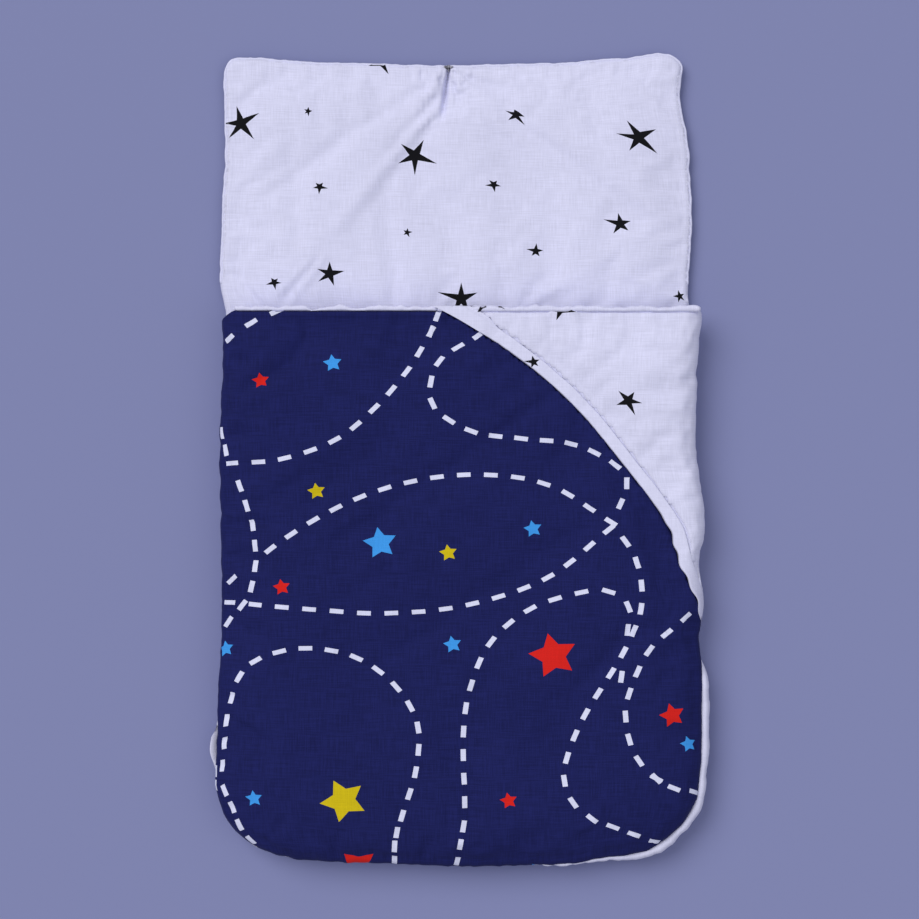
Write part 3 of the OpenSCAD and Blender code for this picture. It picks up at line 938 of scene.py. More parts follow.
HOOD_FOLDS = [
    ((-14.2, 371), (-21, 315), 1.1, 3.8, -7.6, 0.5), ((-14, 370), (-20, 316), 3.0, 8, -1.4, 0.4),
    ((-17, 371), (-40, 371.5), 0.8, 1.5, -1.6, 0.3), ((-10, 370), (-3, 364), 0.8, 1.5, -1.9, 0.4),
    ((-13, 365), (-4, 334), 0.9, 2.6, -1.1, 0.4), ((-21, 372), (-44, 322), 3.0, 9, 1.7, 0.2),
    ((-8, 372), (6, 322), 3.0, 9, 1.6, 0.2), ((-17, 340), (-182, 148), 5, 14, 1.5, 0.75),
    ((-24, 345), (-150, 190), 4, 9, -0.9, 0.6), ((-30, 360), (-200, 235), 5, 12, -0.8, 0.6),
    ((2, 364), (60, 340), 2.2, 7, -1.3, 0.3), ((0, 360), (46, 322), 2.0, 6, 0.9, 0.3),
    ((4, 369), (90, 350), 2.2, 7, 0.8, 0.4), ((-2, 354), (110, 250), 5, 14, 0.7, 0.6),
    ((-4, 350), (205, 200), 5, 13, -0.6, 0.75),
    ((-133, 187), (-172, 138), 2.0, 4.5, -2.2, 0.6), ((-126, 192), (-164, 141), 3.5, 6, 1.3, 0.6),
    ((-140, 186), (-180, 141), 3, 5, 0.8, 0.6), ((-198, 163), (-184, 138), 2.0, 3.6, -1.7, 0.6),
    ((-208, 190), (-192, 150), 4, 8, -0.9, 0.6), ((150, 168), (176, 146), 4, 8, -0.7, 0.6),
    ((40, 176), (30, 146), 4, 9, -0.6, 0.6), ((206, 300), (178, 292), 2.5, 5, -0.8, 0.5),
    ((206, 236), (176, 240), 2.5, 5, -0.8, 0.5), ((206, 205), (182, 196), 2.5, 5, -0.7, 0.5)]


def base_left(y):
    """Left edge of the back panel and hood in plan, with the bulge at the lower left."""
    return LEFT + 2 - 7.5 * np.exp(-((y + 265) / 19.0) ** 2)


def base_right(y):
    """Their right edge, which steps in where the hood starts."""
    return BASE_RIGHT - (BASE_RIGHT - HOOD_RIGHT) * smooth((y - 116) / 24)


def base_distance(x, y):
    """Distance inside the edge of the back panel and hood, and the way inwards."""
    low = y < 100
    right = x > 0
    edge_right, edge_left = base_right(y), base_left(y)
    r = np.where(low, CORNER_R, HOOD_R)
    side = np.where(right, np.maximum(x - edge_right + r, 0), np.maximum(edge_left + r - x, 0))
    end = np.where(low, np.maximum(FOOT_SEAM + CORNER_R - y, 0), np.maximum(y - HEAD + HOOD_R, 0))
    h = np.hypot(side, end)
    safe = np.maximum(h, 1e-6)
    plain = np.where(right, edge_right - x, x - edge_left)
    inside = (side <= 0) & (end <= 0)
    d = np.where(inside, np.minimum(plain, np.where(low, y - FOOT_SEAM, HEAD - y)), r - h)
    nx = np.where(inside, np.where(right, -1.0, 1.0), np.where(right, -side, side) / safe)
    ny = np.where(inside, 0.0, np.where(low, end, -end) / safe)
    return d, nx, ny


def hood_share(y):
    """0 on the body and 1 on the hood, where its seam lies lower and its edge is thinner."""
    return smooth((y - 104) / 34)


def seam_height(y):
    """Height of the back's edge seam: the bag's side on the body, lower on the hood."""
    return SEAM_Z + (HOOD_SEAM_Z - SEAM_Z) * hood_share(y)


def base_top(sim=None):
    """The lining side of the back and hood."""

    def to_space(c):
        x, y = c.T
        d, nx, ny = base_distance(x, y)
        ex, ey = near_edge(x, y, d, nx, ny)
        hood = smooth((y - HOOD_START) / 24)
        floor_z = INSIDE_Z + (HOOD_TOP - INSIDE_Z) * smooth((y - 96) / 30)
        seam = seam_height(y)
        t = np.clip(d / (14 - 3 * hood), 0, 1)
        z = seam + (floor_z - seam) * np.where(seam < floor_z, quarter(t), smooth(t))
        z += hood * smooth((d - 4) / 40) * (0.8 * smooth(d / 90) + 0.25 * swell(x + 300, y))
        z += 0.14 * smooth(d / 30) * ripple(x, y + 200)
        z += hood * smooth(t * 1.4) * gathers(ex, ey, d, 1.2, 12, 26)
        for fold in HOOD_FOLDS:
            z += ridge(x, y, *fold) * hood * smooth((d + 1) / 4.5)
        sides = hood * (y > 160) * (np.abs(nx) > 0.7)
        for inset, deep in zip(STITCH_ROWS, (0.7, 0.55)):
            z -= sides * deep * np.exp(-((d - inset) / 0.9) ** 2)
        shift = (1 - smooth(d / 22)) * base_wave(ex, ey)
        p = np.stack([x + nx * shift, y + ny * shift, z], 1)
        if sim is not None:
            p = p + sim(c) * smooth(d / 9)[:, None]
        return drape(p)

    return same_place, to_space


def base_bottom():
    """The outer side of the back and hood, which rests on the floor."""

    def mixed(y, body, hood):
        return body + (hood - body) * hood_share(y)

    def to_cloth(p):
        d, nx, ny = base_distance(p[:, 0], p[:, 1])
        m = mixed(p[:, 1], BACK_SIDE.cloth(d) - d, HOOD_SIDE.cloth(d) - d)
        return p + np.stack([nx * m, ny * m], 1)

    def to_space(c):
        x, y = c.T
        d, nx, ny = base_distance(x, y)
        q, lift = (mixed(y, body, hood) for body, hood in zip(BACK_SIDE.plan(d), HOOD_SIDE.plan(d)))
        px, py = x + nx * (q - d), y + ny * (q - d)
        ex, ey = near_edge(px, py, q, nx, ny)
        z = seam_height(y) * (1 - lift)
        z += np.clip(z / 8, 0, 1) * gathers(ex, ey, q, 0.9)
        shift = (1 - smooth(q / 24)) * base_wave(ex, ey)
        sag = 3.4 * np.exp(-((py + 266) / 20) ** 2) * (px < 0)
        sag *= np.clip(1 - lift, 0, 1) * np.clip(lift * 4, 0, 1)
        return drape(np.stack([px + nx * shift - sag, py + ny * shift, np.maximum(z, 0.05)], 1))

    return to_cloth, to_space


# ---------------------------------------------------------------- edges of the panels in plan

def arc_points(cx, cy, r, a0, a1, step=EDGE_STEP, least_count=3):
    """Points about step apart on an arc from angle a0 to a1, in degrees."""
    a = np.radians(np.linspace(a0, a1, max(least_count, int(abs(a1 - a0) / 360 * math.tau * r / step))))
    return np.stack([cx + r * np.cos(a), cy + r * np.sin(a)], 1)


def curve_points(r, a0, a1, step=EDGE_STEP):
    """The same along the opening curve."""
    return arc_points(*CURVE, r, a0, a1, step, 2)


def left_foot(r, a0, a1):
    """The same round the bag's lower left corner."""
    return arc_points(LEFT + CORNER_R, FOOT_SEAM + CORNER_R, r, a0, a1)


def right_foot(r, a0, a1):
    return arc_points(RIGHT_SEAM - CORNER_R, FOOT_SEAM + CORNER_R, r, a0, a1)


def curve_x(r, y):
    """Where a curve of radius r round the opening curve's centre is at the height y on its right side."""
    return CURVE[0] + math.sqrt(r ** 2 - (y - CURVE[1]) ** 2)


def curve_angles(r, y):
    """Angles on that curve, in degrees, at the flaps' side seam and at y."""
    return math.degrees(math.acos((RIGHT_SEAM - CURVE[0]) / r)), math.degrees(math.asin((y - CURVE[1]) / r))


def front_ring():
    """Edge of the front flap: side, foot, side, opening curve, mouth."""
    mouth = [(curve_x(FRONT_R, FRONT_EDGE), FRONT_EDGE), (LEFT + 15, FRONT_EDGE), (LEFT + 7, FRONT_EDGE - 4),
             (LEFT, FRONT_EDGE - 9)]
    line = [left_foot(CORNER_R, 180, 270), right_foot(CORNER_R, 270, 360),
            curve_points(FRONT_R, *curve_angles(FRONT_R, FRONT_EDGE))[:-1], mouth]
    return resample(np.vstack(line), EDGE_STEP, True)


def corner_ring():
    """Edge of the corner flap: opening curve, side, mouth."""
    right, top = RIGHT_SEAM, CORNER_TOP
    side_angle, top_angle = curve_angles(CORNER_EDGE_R, top)
    edge = curve_points(CORNER_EDGE_R, top_angle + 0.6, side_angle)
    edge = CURVE + (edge - CURVE) * (corner_edge(*edge.T) / CORNER_EDGE_R)[:, None]
    edge = edge[edge[:, 1] < top - 1]
    line = [[(curve_x(CORNER_EDGE_R + NOTCH_STEP, top), top)], edge,
            [(right, top - 5), (right - 1.5, top - 1.5), (right - 5, top)]]
    return resample(np.vstack(line), EDGE_STEP, True)


def base_ring():
    """Edge of the back and hood: left side, foot, right side, head."""
    y = np.arange(FOOT_SEAM + CORNER_R + 4, HEAD - HOOD_R, EDGE_STEP)
    left = np.stack([base_left(y), y], 1)[::-1]
    right = np.stack([base_right(y), y], 1)
    line = [left, left_foot(CORNER_R - 2, 182, 210), left_foot(CORNER_R + 0.2, 217, 241),
            left_foot(CORNER_R - 2.6, 248, 270), right_foot(CORNER_R - 3, 270, 360), right,
            arc_points(HOOD_RIGHT - HOOD_R, HEAD - HOOD_R, HOOD_R, 0, 90),
            arc_points(HOOD_LEFT + HOOD_R, HEAD - HOOD_R, HOOD_R, 90, 180)]
    return resample(np.vstack(line), EDGE_STEP, True)


# ---------------------------------------------------------------- the prints on each panel

def lay(shape, to_cloth):
    """A print shape on the lying bag, moved to the flat cloth, with its long edges cut short."""
    middle = shape.mean(0)
    moved = shape + to_cloth(middle[None])[0] - middle
    out = []
    for a, b in zip(moved, np.roll(moved, -1, 0)):
        n = max(1, int(np.hypot(*(b - a)) / PRINT_STEP))
        out += [a + (b - a) * k / n for k in range(n)]
    return np.array(out)


def scattered(low, high, gap, seed, tries):
    """Loosely scattered stars, as (x, y, size, turn), for the sides that lie hidden."""
    rng = np.random.default_rng(seed)
    placed = []
    for _ in range(tries):
        x, y, s = rng.uniform(low[0], high[0]), rng.uniform(low[1], high[1]), rng.choice(LOOSE_SIZES)
        if all(math.hypot(x - a, y - b) > gap + (s + c) / 2 for a, b, c, _ in placed):
            placed.append((x, y, s, rng.uniform(0, 72)))
    return placed


def hidden_stars(placed, to_cloth=same_place):
    return [(lay(loose_star(*s), to_cloth), BLACK) for s in placed]


def seen_stars(stars, to_cloth, height):
    return [(lay(as_laid(star_shape(*s), height), to_cloth), BLACK) for s in stars]


# ---------------------------------------------------------------- sweeps

UP = np.array([0, 0, 1.0])


def tube_faces(n, m):
    """Faces of a closed tube of n rings with m points each."""
    faces = [[i * m + j, (i + 1) * m + j, (i + 1) * m + (j + 1) % m, i * m + (j + 1) % m]
             for i in range(n - 1) for j in range(m)]
    return faces + [list(range(m)), [(n - 1) * m + j for j in range(m)][::-1]]


def sweep(name, path, out, sections, material, fit=lambda points: points):
    """A solid along path. out is the sideways way at each point; sections gives (sideways, up) rings."""
    n, m = sections.shape[:2]
    rings = path[:, None] + out[:, None] * sections[..., :1] + UP * sections[..., 1:2]
    uv = np.stack([np.repeat(arc_length(path), m), np.tile(np.linspace(0, 24, m), n)], 1)
    obj = new_object(name, drape(fit(rings.reshape(-1, 3))), tube_faces(n, m), [material], uv=uv)
    work = bmesh.new()
    work.from_mesh(obj.data)
    bmesh.ops.recalc_face_normals(work, faces=work.faces)
    work.to_mesh(obj.data)
    work.free()
    return obj


def round_section(low, high, bottom, top, power, count):
    """Rings of a rounded strip, from low to high sideways and bottom to top, which may be arrays. The higher
    the power the squarer the ring, and count is its number of points."""
    a = np.linspace(0, math.tau, count, endpoint=False) + math.pi / count
    c, s = np.cos(a), np.sin(a)
    c, s = np.sign(c) * np.abs(c) ** (2 / power), np.sign(s) * np.abs(s) ** (2 / power)
    low, high, bottom, top = np.broadcast_arrays(*map(np.atleast_1d, (low, high, bottom, top)))
    mid, half = (low + high) / 2, (high - low) / 2
    z, h = (bottom + top) / 2, (top - bottom) / 2
    return np.stack([mid[:, None] + half[:, None] * c, z[:, None] + h[:, None] * s], 2)


def taper(t, length, at_end=True):
    """Goes from near 0 to 1 over length at the start of t and, at_end, back again at its end."""
    def rise(distance):
        return np.sqrt(np.clip(1 - (1 - np.clip(distance / length, 0, 1)) ** 2, 0.02, 1))

    return rise(t - t[0]) * rise(t[-1] - t) if at_end else rise(t - t[0])


def curve_frame(a0, a1, step, r=ZIP_R):
    """Path along the opening curve, the ways outwards from its centre, and the length along it."""
    p = curve_points(r, a0, a1, step)
    return level(p), level((p - CURVE) / r), arc_length(p)


def curve_turn(path):
    """Angle up the opening curve of each point, in degrees."""
    return np.degrees(np.arctan2(path[:, 1] - CURVE[1], path[:, 0] - CURVE[0]))


def outline_frame(start_y, end_x, step, inset=0.0):
    """Path from the right side at start_y down and round the foot to end_x, inset from the seam line, with
    the ways outwards and the length along it."""
    r = CORNER_R - inset
    line = np.vstack([[(RIGHT_SEAM - inset, start_y)], right_foot(r, 360, 270), left_foot(r, 270, 180)])
    line = resample(line, step)
    line = line[~((line[:, 0] < end_x) & (line[:, 1] < 0))]
    _, nx, ny = side_distance(line[:, 0], line[:, 1])
    straight = (np.abs(nx) + np.abs(ny)) < 0.5
    nx = np.where(straight & (line[:, 1] > FOOT_SEAM + CORNER_R), -1.0, nx)
    ny = np.where(straight & (line[:, 1] <= FOOT_SEAM + CORNER_R), 1.0, ny)
    out = -np.stack([nx, ny], 1) / np.maximum(np.hypot(nx, ny), 1e-6)[:, None]
    return level(line), level(out), arc_length(line)


def strands(name, paths, radius, material, sides=6):
    """Short thread lengths in one piece, each a small rounded tube."""
    verts, faces = [], []
    for path in paths:
        p = np.asarray(path, float)
        d = np.gradient(p, axis=0)
        d /= np.maximum(np.linalg.norm(d, axis=1), 1e-9)[:, None]
        side = np.cross(d, (0, 0, 1.0))
        side /= np.maximum(np.linalg.norm(side, axis=1), 1e-9)[:, None]
        top = np.cross(side, d)
        a = np.linspace(0, math.tau, sides, endpoint=False)
        start = len(verts)
        n = len(p)
        for i in range(n):
            r = radius * (0.45 if i in (0, n - 1) else 1)
            for t in a:
                verts.append(p[i] + r * (side[i] * math.cos(t) + top[i] * math.sin(t)))
        for i in range(start, start + (n - 1) * sides, sides):
            for j in range(sides):
                k = (j + 1) % sides
                faces.append([i + j, i + k, i + sides + k, i + sides + j])
        faces.append([start + j for j in range(sides)][::-1])
        faces.append([start + (n - 1) * sides + j for j in range(sides)])
    return new_object(name, verts, faces, [material])


COIL_Z, COIL_PITCH, POINTS_PER_TURN = 26.7, 1.15, 9


def coil(name, centre, out, radius, wire):
    """A zip's coil: a wire wound a little flat along a line."""
    a = arc_length(centre)
    turns = int(a[-1] / COIL_PITCH)
    t = np.linspace(0, turns * COIL_PITCH, turns * POINTS_PER_TURN + 1)
    c, o = read_line(centre, a, t), read_line(out, a, t)
    phase = np.linspace(0, turns * math.tau, len(t))
    p = c + o * (radius * np.cos(phase))[:, None] + UP * (radius * 0.82 * np.sin(phase))[:, None]
    return strands(name, [p], wire, coil_mat, 5)


# ---------------------------------------------------------------- the padded panels

# a quilt's materials and their numbers
KINDS = [navy_cotton, white_cotton, black_ink, dash_ink, red_ink, blue_ink, yellow_ink, back_cotton]
NAVY, WHITE_K, BLACK, PALE, RED, BLUE, YELLOW, BACK = range(8)
INK = {"r": RED, "b": BLUE, "y": YELLOW}


def front_prints(to_cloth):
    """The navy panel's stars and dashed lines. Where two lines share a dash, it is printed once."""
    out, rings = [], []
    stars = [(ink, star_shape(x, y, even_tips(reach, top), NAVY_WAIST))
             for ink, x, y, reach, top in NAVY_STARS]
    for ink, shape in stars + [("r", star_shape(*FOOT_STAR, NAVY_WAIST))]:
        out.append((lay(as_laid(shape, navy_height(shape)), to_cloth), INK[ink]))
    for line in DASHED_LINES:
        for shape in dash_shapes(*line):
            shape = lay(as_laid(shape, navy_height(shape)), to_cloth)
            if all(np.hypot(*(r - shape.mean(0)).T).min() > DASH_APART for r in rings):
                out.append((shape, PALE))
                rings.append(shape)
    return out


def settled_flap(name, is_corner, box, r, limit_y):
    """Functions of a flap's top after its simulation. r is the radius of the curve that the simulated cloth
    ends at, and limit_y its highest place."""
    sign = -1 if is_corner else 1

    def simulated(x, y):
        in_sides = side_distance(x, y)[0] > -FRONT_SIDE.spare
        return in_sides & (sign * curve_inside(x, y, r) > 0) & (y <= limit_y)

    sim = Settled(name, box, simulated, flap_top(is_corner)[1], spare=0.016, pressure=1.2)
    return flap_top(is_corner, sim)


front_cloth, front_space = settled_flap(
    "front", False, (LEFT - 16, FOOT_SEAM - 16, RIGHT_SEAM + 16, FRONT_EDGE), NAVY_R + 9, FRONT_EDGE)
front_quilt = quilt(
    "front_quilt", front_ring(), (front_cloth, front_space, front_prints(front_cloth), NAVY),
    (*flap_under(False), hidden_stars(scattered((-210, -350), (190, 120), gap=34, seed=3, tries=400)),
     WHITE_K))

corner_cloth, corner_space = settled_flap(
    "corner", True, (0, -120, RIGHT_SEAM + 16, MOUTH), CORNER_EDGE_R - 8, CORNER_TOP)
corner_quilt = quilt(
    "corner_quilt", corner_ring(),
    (corner_cloth, corner_space, seen_stars(CORNER_STARS, corner_cloth, PRINT_Z["corner"]), WHITE_K),
    (*flap_under(True), hidden_stars([(150, 90, 28, 20), (190, -10, 16, 80)]), WHITE_K))

settle_hood = Settled(
    "hood", (HOOD_LEFT - 4, HOOD_START, HOOD_RIGHT + 10, HEAD),
    lambda x, y: (base_distance(x, y)[0] > 1.5) & (y > HOOD_START), base_top()[1], spare=0.014, pressure=1.0)
base_cloth, base_space = base_top(settle_hood)
under_cloth, under_space = base_bottom()
base_stars = (seen_stars(HOOD_STARS, base_cloth, PRINT_Z["hood"])
              + hidden_stars(scattered((-200, -350), (200, 110), gap=34, seed=5, tries=400)))
under_stars = hidden_stars(scattered((-215, -365), (205, 365), gap=38, seed=9, tries=500), under_cloth)
back_quilt = quilt(
    "back_and_hood_quilt", base_ring(), (base_cloth, base_space, base_stars, WHITE_K),
    (under_cloth, under_space, under_stars, BACK), fine=(-46, 310, 8, 374, 1.1))


def first_hit(tree, x, y, way):
    """Height of the first face that a line straight down (way -1) or up (way 1) meets, or None."""
    place = tree.ray_cast(Vector((x, y, -way * RAY_START)) * MM, Vector((0, 0, way)))[0]
    return None if place is None else place.z / MM


def fill_block(name, ring, low, high, reach, cover, hollow=None):
    """A soft wadding piece that stays inside its quilt, the cover: lumpy, with its edges tapering in over
    reach. hollow is (x, y, half width, half length, depth) of a dent in its top."""
    v, f, _ = sheet_mesh(ring, [], FILL_STEP)
    near = ring_distance(*v.T, ring)
    half = np.maximum((high - low) / 2 * quarter(near / reach), 0.02)
    lump = 0.3 * ripple(v[:, 0], v[:, 1]) * smooth(near / 20)
    mid = (low + high) / 2
    top = drape(np.column_stack([v, mid + half + lump - 0.3]))
    under = drape(np.column_stack([v, mid - half + lump * 0.4 + 0.3]))
    tree = BVHTree.FromObject(cover, bpy.context.evaluated_depsgraph_get())
    if hollow is not None:
        x, y, wide, long, deep = hollow
        top[:, 2] -= deep * np.exp(-((v[:, 0] - x) / wide) ** 4 - ((v[:, 1] - y) / long) ** 4)
    for a, b in zip(top, under):
        roof, floor = first_hit(tree, a[0], a[1], -1), first_hit(tree, a[0], a[1], 1)
        if roof is not None and floor is not None:
            a[2] = min(a[2], roof - 1.4)
            b[2] = max(b[2], floor + 0.8)
        if a[2] - b[2] < 0.05:
            a[2] = b[2] = (a[2] + b[2]) / 2
            a[2] += 0.03
    n, m = len(v), len(ring)
    faces = [list(t) for t in f] + [[i + n for i in t[::-1]] for t in f]
    faces += [[i, i + n, (i + 1) % m + n, (i + 1) % m] for i in range(m)]
    return join_points(new_object(name, np.vstack([top, under]), faces, [wadding]))


def shrink(ring, amount):
    """The ring moved inwards by amount."""
    d = np.roll(ring, -1, 0) - np.roll(ring, 1, 0)
    n = np.stack([-d[:, 1], d[:, 0]], 1) / np.maximum(np.linalg.norm(d, axis=1), 1e-6)[:, None]
    keep = [p for p in ring + n * amount if np.hypot(*(ring - p).T).min() > amount * 0.93]
    return resample(np.array(keep), FILL_EDGE_STEP, True)


def clip_ring(ring, limit_y, below):
    """The part of the ring below or above limit_y, closed with a straight line."""
    out = []
    for a, b in zip(ring, np.roll(ring, -1, 0)):
        keep_a, keep_b = (a[1] <= limit_y) == below, (b[1] <= limit_y) == below
        if keep_a:
            out.append(a)
        if keep_a != keep_b:
            t = (limit_y - a[1]) / (b[1] - a[1])
            out.append(a + (b - a) * t)
    return resample(np.array(out), FILL_EDGE_STEP, True)


bpy.context.view_layer.update()
flap_room = (FRONT_UNDER + 1.6, FRONT_TOP - 3.6, 24)
front_fill = fill_block("front_wadding_fill", shrink(front_ring(), 12), *flap_room, front_quilt)
corner_fill = fill_block("corner_wadding_fill", shrink(corner_ring(), 9), *flap_room, corner_quilt)
base_inner = shrink(base_ring(), 12)
back_fill = fill_block(
    "back_wadding_fill", clip_ring(base_inner, 150, True), 1.2, INSIDE_Z - 1.2, 8, back_quilt)
hood_fill = fill_block(
    "hood_wadding_fill", clip_ring(base_inner, 160, False), 1.2, HOOD_TOP - 5.0, 8, back_quilt,
    hollow=(-17, 345, 18, 38, 10.0))

# ---------------------------------------------------------------- lips, bindings and piping

lip_wave = Waves(34)
lip_fine = Waves(13)


def fit_curve(p):
    """Cuts a strip that follows the opening curve at the mouth, and lays its lower end on the bag's side."""
    x, y, z = p.T
    h = np.hypot(x - CURVE[0], y - CURVE[1])
    cos, sin = (x - CURVE[0]) / h, (y - CURVE[1]) / h
    over = np.maximum(y - MOUTH, 0) / cos
    x, y = x + over * sin, y - over * cos
    x = np.minimum(x, RIGHT_SEAM + 0.5)
    d = side_distance(x, y)[0]
    limit = SEAM_Z + (FRONT_TOP - SEAM_Z) * side_lift(d) + 1.0
    z = np.where(d < 24, np.minimum(z, np.maximum(limit + (z - LIP_TOP) * 0.25, SEAM_Z + 0.4)), z)
    return np.column_stack([x, y, z])


def narrowed(edge, limit, share):
    """The edge, moved to limit where share is 1. A limit of None leaves it."""
    return edge if limit is None else edge + (limit - edge) * share


def curve_lip(name, low, high, a0, a1, narrow, power, raised, wave, scallop=0.0, tilt=0.0, over=0.0):
    """A strip from radius low to high along the opening curve, from angle a0 to a1. From the notch on its
    edges are at the radii in narrow. raised is how high its top is over the flap's, tilt how much lower it is
    at its outer side, and over how far its upper outer edge hangs out. scallop is the size of the gathers at
    its lower end."""
    path, out, t = curve_frame(a0, a1, 2.0)
    x, y, _ = path.T
    angle = curve_turn(path)
    cut = smooth((angle - NOTCH + 1.2) / 1.2)
    edge_out = narrowed(high + wave * lip_wave(x, y), narrow[1], cut)
    edge_in = low + 0.5 * wave * lip_wave(x + 50, y)
    edge_in += scallop * smooth((31 - angle) / 7) * np.sin(math.tau * t / 23)
    edge_in = narrowed(edge_in, narrow[0], cut)
    top = LIP_TOP + raised + 0.16 * lip_wave(x, y + 70) + 0.1 * lip_fine(x + 9, y)
    k = taper(t, 3.0, False)
    mid, half = (edge_in + edge_out) / 2 - ZIP_R, (edge_out - edge_in) / 2 * (0.6 + 0.4 * k)
    z_mid, z_half = (LIP_LOW + top) / 2, (top - LIP_LOW) / 2 * (0.7 + 0.3 * k)
    ring = round_section(mid - half, mid + half, z_mid - z_half, z_mid + z_half, power, 44)
    across = (ring[..., 0] - ring[..., 0].min(1, keepdims=True)) / np.ptp(ring[..., 0], axis=1)[:, None]
    ring[..., 1] -= tilt * across * (ring[..., 1] - LIP_LOW) / (LIP_TOP - LIP_LOW)
    upper = smooth((ring[..., 1] - ring[..., 1].max(1, keepdims=True) + 1.3) / 0.5)
    ring[..., 0] += over * (1 - cut)[:, None] * smooth((across - 0.55) / 0.45) * upper
    return sweep(name, path, out, ring, white_lip, fit_curve)


LIP_END = 65.6  # the angle at which the lip meets the mouth
zip_lip = curve_lip("zip_lip", NAVY_R - 0.9, ZIP_R + 0.15, 13.9, LIP_END, (None, ZIP_R - 4.3),
                    power=7, raised=0.45, wave=0.12, scallop=1.1, tilt=0.5, over=2.6)
corner_binding = curve_lip("corner_edge_binding_roll", ZIP_R + 0.9, ZIP_R + 6, 21.8, 65.0,
                           (ZIP_R + 3.7, None), power=4, raised=-2.2, wave=0.0)


def garage_cover():
    """A thin fold of the lip that hides the slot in which the zip's pull turns up."""
    path, out, _ = curve_frame(56.2, LIP_END, 1.5)
    angle = curve_turn(path)
    rise = smooth((angle - 57.2) / 2.6)
    top = 44.0 + 2.6 * rise + 0.12 * lip_wave(path[:, 0], path[:, 1])
    low_r = NAVY_R - 0.5 - 0.9 * rise
    high_r = 453.6 + 3.6 * smooth((angle - 57.6) / 2.0) + 1.8 * smooth((angle - 61.5) / 2.0)
    ring = round_section(low_r - ZIP_R, high_r - ZIP_R, top - 1.05, top, 2.4, 30)
    ring[..., 1] -= (2.1 * rise)[:, None] * smooth((ring[..., 0] + ZIP_R - 452.2) / 3.2)
    return sweep("zip_top_cover", path, out, ring, white_lip, fit_curve)


garage = garage_cover()


def print_on(name, shape, targets, inside_r=math.inf, lift=0.07):
    """A black printed shape laid on the pieces below it, cut off square to the way out from the opening
    curve's centre at the radius inside_r."""
    depsgraph = bpy.context.evaluated_depsgraph_get()
    trees = [BVHTree.FromObject(t, depsgraph) for t in targets]
    away = shape.mean(0) - CURVE
    reach = (shape - CURVE) @ (away / np.hypot(*away))
    kept = []
    for a, b, p, q in zip(shape, np.roll(shape, -1, 0), reach, np.roll(reach, -1)):
        if p <= inside_r:
            kept.append(a)
        if (p <= inside_r) != (q <= inside_r):
            kept.append(a + (b - a) * (inside_r - p) / (q - p))
    ring = resample(np.array(kept), 0.7, True)
    v, f, _ = sheet_mesh(ring, [], 0.9)
    v = drape(level(v))
    for p in v:
        hits = [first_hit(tree, p[0], p[1], -1) for tree in trees]
        p[2] = max((z for z in hits if z is not None), default=LIP_TOP) + lift
    return new_object(name, v, f, [black_ink])


bpy.context.view_layer.update()
lip_star = print_on("zip_lip_printed_star", as_laid(star_shape(*LIP_STAR), PRINT_Z["corner"]),
                    [zip_lip, front_quilt], ZIP_R + 2.4)
MOUTH_LOW = 27.6  # under side of both mouth edges


def mouth_line(name, x0, x1, y0, y1, high, material, wave, power):
    """A strip along the mouth from x0 to x1, across it from y0 to y1, and up to high. Its head side waves."""
    x = np.arange(x0, x1, 2.0)
    path = level(np.column_stack([x, np.zeros_like(x)]))
    out = np.tile([0, 1.0, 0], (len(x), 1))
    k = taper(arc_length(path), 2.5)
    top = high + 0.2 * lip_wave(x, 300.0) + 0.12 * lip_fine(x, 300.0)
    far = y1 + wave * lip_wave(x, 400.0) + 0.4 * wave * lip_fine(x, 400.0)
    mid, half = (y0 + far) / 2, (far - y0) / 2 * (0.5 + 0.5 * k)
    z_mid, z_half = (MOUTH_LOW + top) / 2, (top - MOUTH_LOW) / 2 * (0.75 + 0.25 * k)
    ring = round_section(mid - half, mid + half, z_mid - z_half, z_mid + z_half, power, 20)
    return sweep(name, path, out, ring, material)


front_binding = mouth_line("front_mouth_binding_roll", LEFT + 13, curve_x(NAVY_R, MOUTH) + 2.5,
                           FRONT_EDGE - 1.6, MOUTH - 0.3, 43.5, white_lip, 1.0, 3.4)
corner_facing = mouth_line("corner_mouth_facing_fold", curve_x(CORNER_EDGE_R, MOUTH) + 6.0, RIGHT_SEAM - 1.5,
                           CORNER_TOP - 3.2, MOUTH, 44.7, white_cotton, 0.8, 3.0)
bpy.context.view_layer.update()

# the tips of two cut-off stars on the corner flap's hem, as outlines in plan
HEM_TIPS = [[(13.0, 138.4), (15.8, 138.8), (17.8, 141.6), (21.6, 143.0), (20.4, 144.2), (15.6, 143.6)],
            [(32.0, 143.4), (35.2, 142.4), (38.6, 140.8), (36.0, 143.2), (33.4, 143.8)]]
below_tips = [corner_facing, zip_lip, front_binding, garage]
hem_tips = [print_on("corner_mouth_printed_tip_%d" % k, as_laid(np.array(tip), PRINT_Z["corner"]), below_tips,
                     lift=0.3) for k, tip in enumerate(HEM_TIPS, 1)]


def side_lip_sweep():
    """The white trim that shows outside the bag's lower right side, its corner and, thinly, the foot.
    Elsewhere it lies hidden in the seam."""
    path, out, t = outline_frame(-150.0, -200.0, 3.0)
    x, y, _ = path.T
    show = smooth((x - 28) / 60) * smooth((-168 - y) / 42)
    foot = 1.6 + 3.4 * smooth((x - 105) / 50)
    corner = 2 * np.abs(out[:, 0] * out[:, 1])
    shown_reach, hidden_reach = foot + 2.0 * out[:, 0] + 2.0 * corner, -1.8
    far = hidden_reach + show * (shown_reach - hidden_reach + 0.5 * lip_wave(x, y) + 0.25 * lip_fine(x, y))
    hidden_top, shown_top = SEAM_Z - 1.4, 29.4
    top = hidden_top + (shown_top - hidden_top + 0.4 * lip_wave(x, y + 40)) * show
    drawn_in = (1 - taper(t, 8.0)) * 8
    return path, out, round_section(-4.0, far, 3.0 + drawn_in, top - drawn_in, 2.2, 22)


side_lip = sweep("side_zip_lip", *side_lip_sweep(), white_lip)


